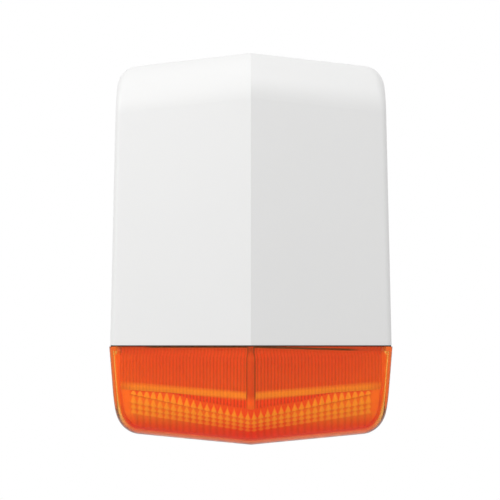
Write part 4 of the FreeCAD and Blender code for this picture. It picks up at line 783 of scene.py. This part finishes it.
def build_cells():
    """Each cell as a crimped can and its two-tone sleeve, without lettering."""
    for number in range(1, 5):
        node = f"battery_cell_{number}"
        low, high = corners(node)
        middle = (low + high) / 2
        nipple_up = number % 2 == 0
        way = 1 if nipple_up else -1
        flip = UPRIGHT if nipple_up else Matrix.Rotation(math.pi, 4, "X")
        place = Vector((middle.x, middle.y, low.z if nipple_up else high.z))
        can = bmesh.new()
        turned(can, CELL_CAN, place, flip, 48)
        finish_piece(can, f"cell_can_{number}", "base", "contact_nickel", [node])
        sleeve = bmesh.new()
        turned(sleeve, CELL_SLEEVE, place, flip, 48, closed=True)
        band = place.z + way * BAND_START
        paint([face for face in sleeve.faces if way * (face.calc_center_median().z - band) > 0], 1)
        finish_piece(sleeve, f"cell_sleeve_{number}", "base", "cell_jacket", [node],
                     ["cell_jacket", "jacket_band"])


def build_springs():
    """Conical contact springs under the flat ends of the cells."""
    low, high = corners("battery_springs")
    length, wire = 5.0, 1.0
    wide = (high.y - low.y) / 2 - wire / 2
    coil = coil_points(wide, wide * 0.55, length, 2.5, wire)
    parts = []
    for number in range(1, 5):
        cell_low, cell_high = corners(f"battery_cell_{number}")
        across = (cell_low.x + cell_high.x) / 2
        depth = (cell_low.y + cell_high.y) / 2
        on_top = number % 2 == 1
        base = cell_high.z + length if on_top else cell_low.z - length
        points = [(across + x, depth + y, base - z if on_top else base + z) for x, y, z in coil]
        parts.append(wire_mesh(points, wire / 2))
    finish_piece(join_meshes(parts), "contact_coils", "base", "contact_nickel", ["battery_springs"])


def build_tamper_spring():
    """Compression spring under the cover's tamper plunger."""
    low, high = corners("cover_tamper_spring")
    middle = (low + high) / 2
    length = high.y - low.y
    wire, travel = 0.6, 2.0
    radius = (high.x - low.x) / 2 - wire / 2
    coil = coil_points(radius, radius, length, 4.0, wire)
    data = wire_mesh([(middle.x + x, high.y - z, middle.z + y) for x, y, z in coil], wire / 2)
    item = finish_mesh(data, "tamper_coil", "base", "contact_nickel", ["cover_tamper_spring"])
    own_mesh(item)


def build_antenna():
    """Close-wound aerial coil with one foot in the board."""
    low, high = corners("helical_antenna")
    middle = (low + high) / 2
    wire = 0.8
    radius = (high.x - low.x) / 2 - wire / 2
    length = high.z - low.z
    points = []
    turns, steps = 15, 10
    for step in range(turns * steps + 1):
        angle = math.tau * step / steps
        points.append((middle.x + radius * math.cos(angle), middle.y + radius * math.sin(angle),
                       low.z + 0.5 + (length - 1) * step / (turns * steps)))
    foot = (points[0][0], high.y - 0.2, points[0][2])
    finish_piece(join_meshes([wire_mesh([foot] + points, wire / 2, 1)]), "aerial_coil", "base",
                 "antenna_copper", ["helical_antenna"])


# ---------------------------------------------------------------- board parts
def build_radio():
    """Radio module: its small board, the tin can on it, and the plated pads at its edges."""
    low, high = corners("radio_module")
    board_top = high.y - 0.8
    board = bmesh.new()
    block(board, (low.x, board_top, low.z), high, 0.08)
    finish_piece(board, "radio_board", "base", "board_green", ["radio_module"])
    shield = bmesh.new()
    faces = block(shield, (low.x + 4, low.y, low.z + 1), (high.x - 1, board_top, high.z - 1),
                  0.35, 3)
    sunk(shield, faces, 1.2, 0.12)
    finish_piece(shield, "radio_shield", "base", "shield_tin", ["radio_module"])
    pads = bmesh.new()
    for step in range(8):
        across = low.x + 2.4 + step * 2.2
        for edge in (low.z - 0.02, high.z - 0.88):
            block(pads, (across - 0.5, board_top - 0.06, edge),
                  (across + 0.5, board_top + 0.3, edge + 0.9), 0.05)
    finish_piece(pads, "radio_pads", "base", "insert_brass", ["radio_module"])


LEG_HALF = 0.33                  # half the width of a chip's leg
LEG_THICK = 0.2


def pin_row(mesh, side, first, way, count, pitch, reach, top, foot):
    """Bent legs along one side of a chip: shoulder, drop and foot."""
    parts = ((0, 0.4 * reach, top - LEG_THICK, top), (0.3 * reach, 0.5 * reach, top, foot),
             (0.4 * reach, reach, foot - LEG_THICK, foot))
    for number in range(count):
        height = first + number * pitch
        for near, far, front, back in parts:
            left, right = sorted((side + way * near, side + way * far))
            block(mesh, (left, front, height - LEG_HALF), (right, back, height + LEG_HALF), 0.04,
                  index=1)


def build_chip():
    """The controller: a moulded body with an index mark, and six bent legs on each side."""
    low, high = corners("controller_chip")
    left, right = low.x + 1.5, high.x - 1.5
    mark = [(0, 0.1), (0.55, 0.1), (0.7, 0.02), (0.8, 0.0), (0.8, -0.05), (0, -0.05)]
    mesh = bmesh.new()
    block(mesh, (left, low.y, low.z), (right, high.y - 0.15, high.z), 0.25, 2)
    turned(mesh, mark, (left + 1.6, low.y - 0.03, high.z - 1.6), FRONT, 20)
    for side, way in ((left, -1), (right, 1)):
        pin_row(mesh, side, low.z + 1.25, way, 6, 1.9, 1.45, high.y - 0.75, high.y)
    finish_piece(mesh, "controller_package", "base", "chip_black", ["controller_chip"],
                 ["chip_black", "shield_tin"])


def build_capacitors():
    """Storage capacitors: sleeved cans with a groove near the foot and a scored vent on top."""
    low, high = corners("storage_capacitors")
    radius = (high.z - low.z) / 2
    middle = (low + high) / 2
    top = high.y - low.y
    profile = [(0, top - 0.35), (radius - 1.5, top - 0.35), (radius - 1.3, top - 0.05),
               (radius - 0.6, top), (radius - 0.1, top - 0.5), (radius, top - 1.0), (radius, 2.4),
               (radius - 0.45, 1.9), (radius - 0.45, 1.5), (radius, 1.0), (radius, 0.2), (0, 0.2)]
    mesh = bmesh.new()
    for across in (low.x + radius, high.x - radius):
        for face in turned(mesh, profile, (across, high.y, middle.z), FRONT, 40):
            place = face.calc_center_median()
            reach = math.hypot(place.x - across, place.z - middle.z)
            if reach < radius - 1.2 and place.y < middle.y:
                face.material_index = 1
        for turn in (45, 135):
            before = set(mesh.verts)
            block(mesh, (-radius * 0.6, -0.06, -0.12), (radius * 0.6, 0.06, 0.12), 0.04, index=2)
            spot = Matrix.Translation((across, low.y + 0.36, middle.z))
            bmesh.ops.transform(mesh, matrix=spot @ Matrix.Rotation(math.radians(turn), 4, "Y"),
                                verts=added(mesh.verts, before))
    finish_piece(mesh, "capacitor_cans", "base", "capacitor_sleeve", ["storage_capacitors"],
                 ["capacitor_sleeve", "shield_tin", "screw_steel"])


def build_plugs():
    """Crimp housings with two windows each, side by side (x) or one above the other (z)."""
    board = corners("main_board")[0]
    strobe_board = corners("strobe_board")[1]
    red = corners("battery_lead_red")
    siren = corners("siren_leads")[0]
    strobe = corners("strobe_leads")
    red_x = (red[0].x + red[1].x) / 2
    black_x = corners("battery_lead_black")[0].x + 0.8
    strobe_x = (strobe[0].x + strobe[1].x) / 2
    plug_z = red[0].z
    places = [((red_x - 4, plug_z - 7), (8, 7), board.y - 6, board.y, "x"),
              ((black_x - 4, plug_z - 7), (8, 7), board.y - 6, board.y, "x"),
              ((siren.x - 7, board.z + 29), (7, 9), board.y - 6, board.y, "z"),
              ((strobe_x - 4, strobe[1].z), (8, 7), board.y - 6, board.y, "x"),
              ((strobe_x - 4, strobe_board.z - 7), (8, 7), strobe_board.y, strobe_board.y + 5, "x")]
    mesh = bmesh.new()
    for (left, low), (wide, high), near, far, way in places:
        block(mesh, (left, near + 0.4, low), (left + wide, far, low + high), 0.25, 2)
        for step in (0, 1):
            if way == "x":
                spot = left + 1.1 + step * (wide - 1.2) / 2
                window = block(mesh, (spot, near + 0.05, low + 1.2),
                               (spot + (wide - 3.4) / 2, near + 0.6, low + high - 1.4), 0.12)
            else:
                spot = low + 1.1 + step * (high - 1.2) / 2
                window = block(mesh, (left + 1.2, near + 0.05, spot),
                               (left + wide - 1.4, near + 0.6, spot + (high - 3.4) / 2), 0.12)
            sunk(mesh, window, 0.35, 0.4, 1)
    finish_piece(mesh, "plug_housings", "base", "connector_white", ["lead_connectors"],
                 ["connector_white", "contact_nickel"])


def passive_spots():
    """Places of the small parts on the board, with the way that each one lies."""
    spots = []
    for column in range(8):
        spots.append((-47.5 + column * 3.1, -19.5, "x"))
        spots.append((-47.5 + column * 3.1, -22.7, "z"))
    for row in range(5):
        spots.append((-48.6, -13.0 + row * 2.7, "z"))
        spots.append((-14.6, -36.0 - row * 3.0, "x"))
    for column in range(5):
        spots.append((-60.5 + column * 2.9, -22.5, "x"))
    for column in range(4):
        spots.append((-68.0 + column * 3.4, 6.0, "z"))
        spots.append((-25.6 + column * 3.6, -4.2, "x"))
    return spots


def build_passives():
    """Small resistors, and ceramic capacitors at each third place, with tinned ends."""
    front = corners("main_board")[0].y
    long_half, slim_half, cap_half, proud = 0.95, 0.6, 0.22, 0.04
    mesh = bmesh.new()
    for number, (x, z, way) in enumerate(passive_spots()):
        ceramic = number % 3 == 0
        tall = 0.85 if ceramic else 0.55
        lies_across = way == "x"
        half_x, half_z = (long_half, slim_half) if lies_across else (slim_half, long_half)
        block(mesh, (x - half_x, front - tall, z - half_z), (x + half_x, front, z + half_z), 0.06,
              index=int(ceramic))
        for side in (-1, 1):
            shift = side * (long_half - 0.12)
            cap_x, cap_z = (x + shift, z) if lies_across else (x, z + shift)
            wide = cap_half if lies_across else half_x + proud
            high = half_z + proud if lies_across else cap_half
            block(mesh, (cap_x - wide, front - tall - proud, cap_z - high),
                  (cap_x + wide, front, cap_z + high), 0.06, index=2)
    finish_piece(mesh, "chip_passives", "base", "chip_black", [],
                 ["chip_black", "ceramic_tan", "shield_tin"])


def build_drivers():
    """The sounder's and the regulator's chips with their legs, and the crystal's can."""
    front = corners("main_board")[0].y
    pitch = 1.27
    mesh = bmesh.new()
    for x, z, wide, high, legs in ((-16.5, -8.6, 4.0, 5.0, 4), (-56.0, -17.5, 3.2, 2.6, 2)):
        block(mesh, (x - wide / 2, front - 1.4, z - high / 2),
              (x + wide / 2, front - 0.1, z + high / 2), 0.18, 2)
        for way in (-1, 1):
            pin_row(mesh, x + way * wide / 2, z - (legs - 1) * pitch / 2, way, legs, pitch, 1.0,
                    front - 0.6, front)
    crystal = block(mesh, (-36.5, front - 1.3, -29.2), (-29.5, front - 0.05, -25.8), 0.6, 3, 1)
    sunk(mesh, crystal, 0.4, 0.1, 1)
    finish_piece(mesh, "driver_chips", "base", "chip_black", [], ["chip_black", "shield_tin"])


def build_lamps():
    """Strobe lamps: ceramic frame with a sunk well, and the phosphor dome in it."""
    low, high = corners("strobe_leds")
    height = (low.z + high.z) / 2
    half, radius, foot, rise, steps = 2.5, 2.05, 1.2, 1.2, 6
    turns = [step * math.pi / 2 / steps for step in range(steps)]
    dome = [(radius * math.cos(turn), foot + rise * math.sin(turn)) for turn in turns]
    profile = [(0, 1.12), (radius, 1.12), *dome, (0, foot + rise)]
    frames = bmesh.new()
    domes = bmesh.new()
    for number in range(5):
        across = low.x + half + number * (high.x - low.x - 2 * half) / 4
        faces = block(frames, (across - half, high.y - 1.6, height - half),
                      (across + half, high.y, height + half), 0.15, 2)
        sunk(frames, faces, 0.35, 0.5)
        turned(domes, profile, (across, high.y, height), FRONT, 32)
    finish_piece(frames, "lamp_frames", "base", "strobe_led", ["strobe_leds"], ["lamp_ceramic"])
    finish_piece(domes, "lamp_domes", "base", "strobe_led", ["strobe_leds"])


build_optics()
build_liner()
build_cells()
build_springs()
build_tamper_spring()
build_antenna()
build_radio()
build_chip()
build_capacitors()
build_plugs()
build_passives()
build_drivers()
build_lamps()


# ---------------------------------------------------------------- studio
AMBIENT = 0.49                   # light from all round, in parts of white
CAMERA_PLACE = (0.0, -1.5, -0.0655)
CAMERA_AIM = (-0.0006, -0.05, -0.0015)
FLOOR_LEVEL = -0.42
FLOOR_GLOW = 0.5                 # how much of the floor is plain white to the camera


def build_world():
    """Plain studio light, with the surroundings seen as white."""
    world = bpy.data.worlds.new("studio")
    world.use_nodes = True
    tree = world.node_tree
    light = tree.nodes["Background"]
    light.inputs["Color"].default_value = (1, 1, 1, 1)
    light.inputs["Strength"].default_value = AMBIENT
    seen = tree.nodes.new("ShaderNodeBackground")
    seen.inputs["Color"].default_value = (1, 1, 1, 1)
    seen.inputs["Strength"].default_value = 1.0
    mixed = mix_shaders(tree, seen_rays(tree), light.outputs["Background"],
                        seen.outputs["Background"])
    tree.links.new(mixed, tree.nodes["World Output"].inputs["Surface"])
    bpy.context.scene.world = world


def aimed(place, aim):
    """The turn that points a lamp or a camera from its place to its aim."""
    return (Vector(aim) - Vector(place)).to_track_quat("-Z", "Y").to_euler()


def add_lamp(name, place, size, power):
    """A round lamp that looks at the middle of the siren."""
    lamp = bpy.data.lights.new(name, "AREA")
    lamp.shape = "DISK"
    lamp.size = size
    lamp.energy = power
    item = bpy.data.objects.new(name, lamp)
    item.location = place
    item.rotation_euler = aimed(place, (0, 0, 0))
    bpy.context.collection.objects.link(item)


def add_camera():
    """The camera in front of the siren, level with its seam."""
    camera = bpy.data.cameras.new("camera")
    camera.sensor_width = 36.0
    camera.lens = 155.5
    camera.clip_end = 50.0
    item = bpy.data.objects.new("camera", camera)
    item.location = CAMERA_PLACE
    item.rotation_euler = aimed(CAMERA_PLACE, CAMERA_AIM)
    bpy.context.collection.objects.link(item)
    bpy.context.scene.camera = item


def build_floor():
    """Pale disc under the siren, which the camera sees as half lit and half white."""
    mesh = bmesh.new()
    bmesh.ops.create_circle(mesh, cap_ends=True, segments=64, radius=2.2)
    bmesh.ops.translate(mesh, verts=mesh.verts, vec=(0, 0, FLOOR_LEVEL))
    data = bpy.data.meshes.new("floor")
    mesh.to_mesh(data)
    mesh.free()
    item = bpy.data.objects.new("floor", data)
    bpy.context.collection.objects.link(item)
    material = bpy.data.materials.new("pale_floor")
    material.use_nodes = True
    tree = material.node_tree
    shader = tree.nodes["Principled BSDF"]
    shader.inputs["Base Color"].default_value = (0.86, 0.86, 0.86, 1)
    shader.inputs["Roughness"].default_value = 0.9
    shader.inputs["Specular IOR Level"].default_value = 0.1
    glow = tree.nodes.new("ShaderNodeEmission")
    glow.inputs["Strength"].default_value = 1.0
    share = math_node(tree, "MULTIPLY", seen_rays(tree), FLOOR_GLOW)
    mixed = mix_shaders(tree, share, shader.outputs["BSDF"], glow.outputs["Emission"])
    tree.links.new(mixed, tree.nodes["Material Output"].inputs["Surface"])
    data.materials.append(material)


build_world()
add_lamp("key", (-1.1, -0.64, 0.5), 0.9, 5.6)
add_lamp("overhead", (0.2, -0.8, 1.1), 1.0, 7.2)
add_camera()
build_floor()
scene = bpy.context.scene
scene.view_settings.view_transform = "Standard"
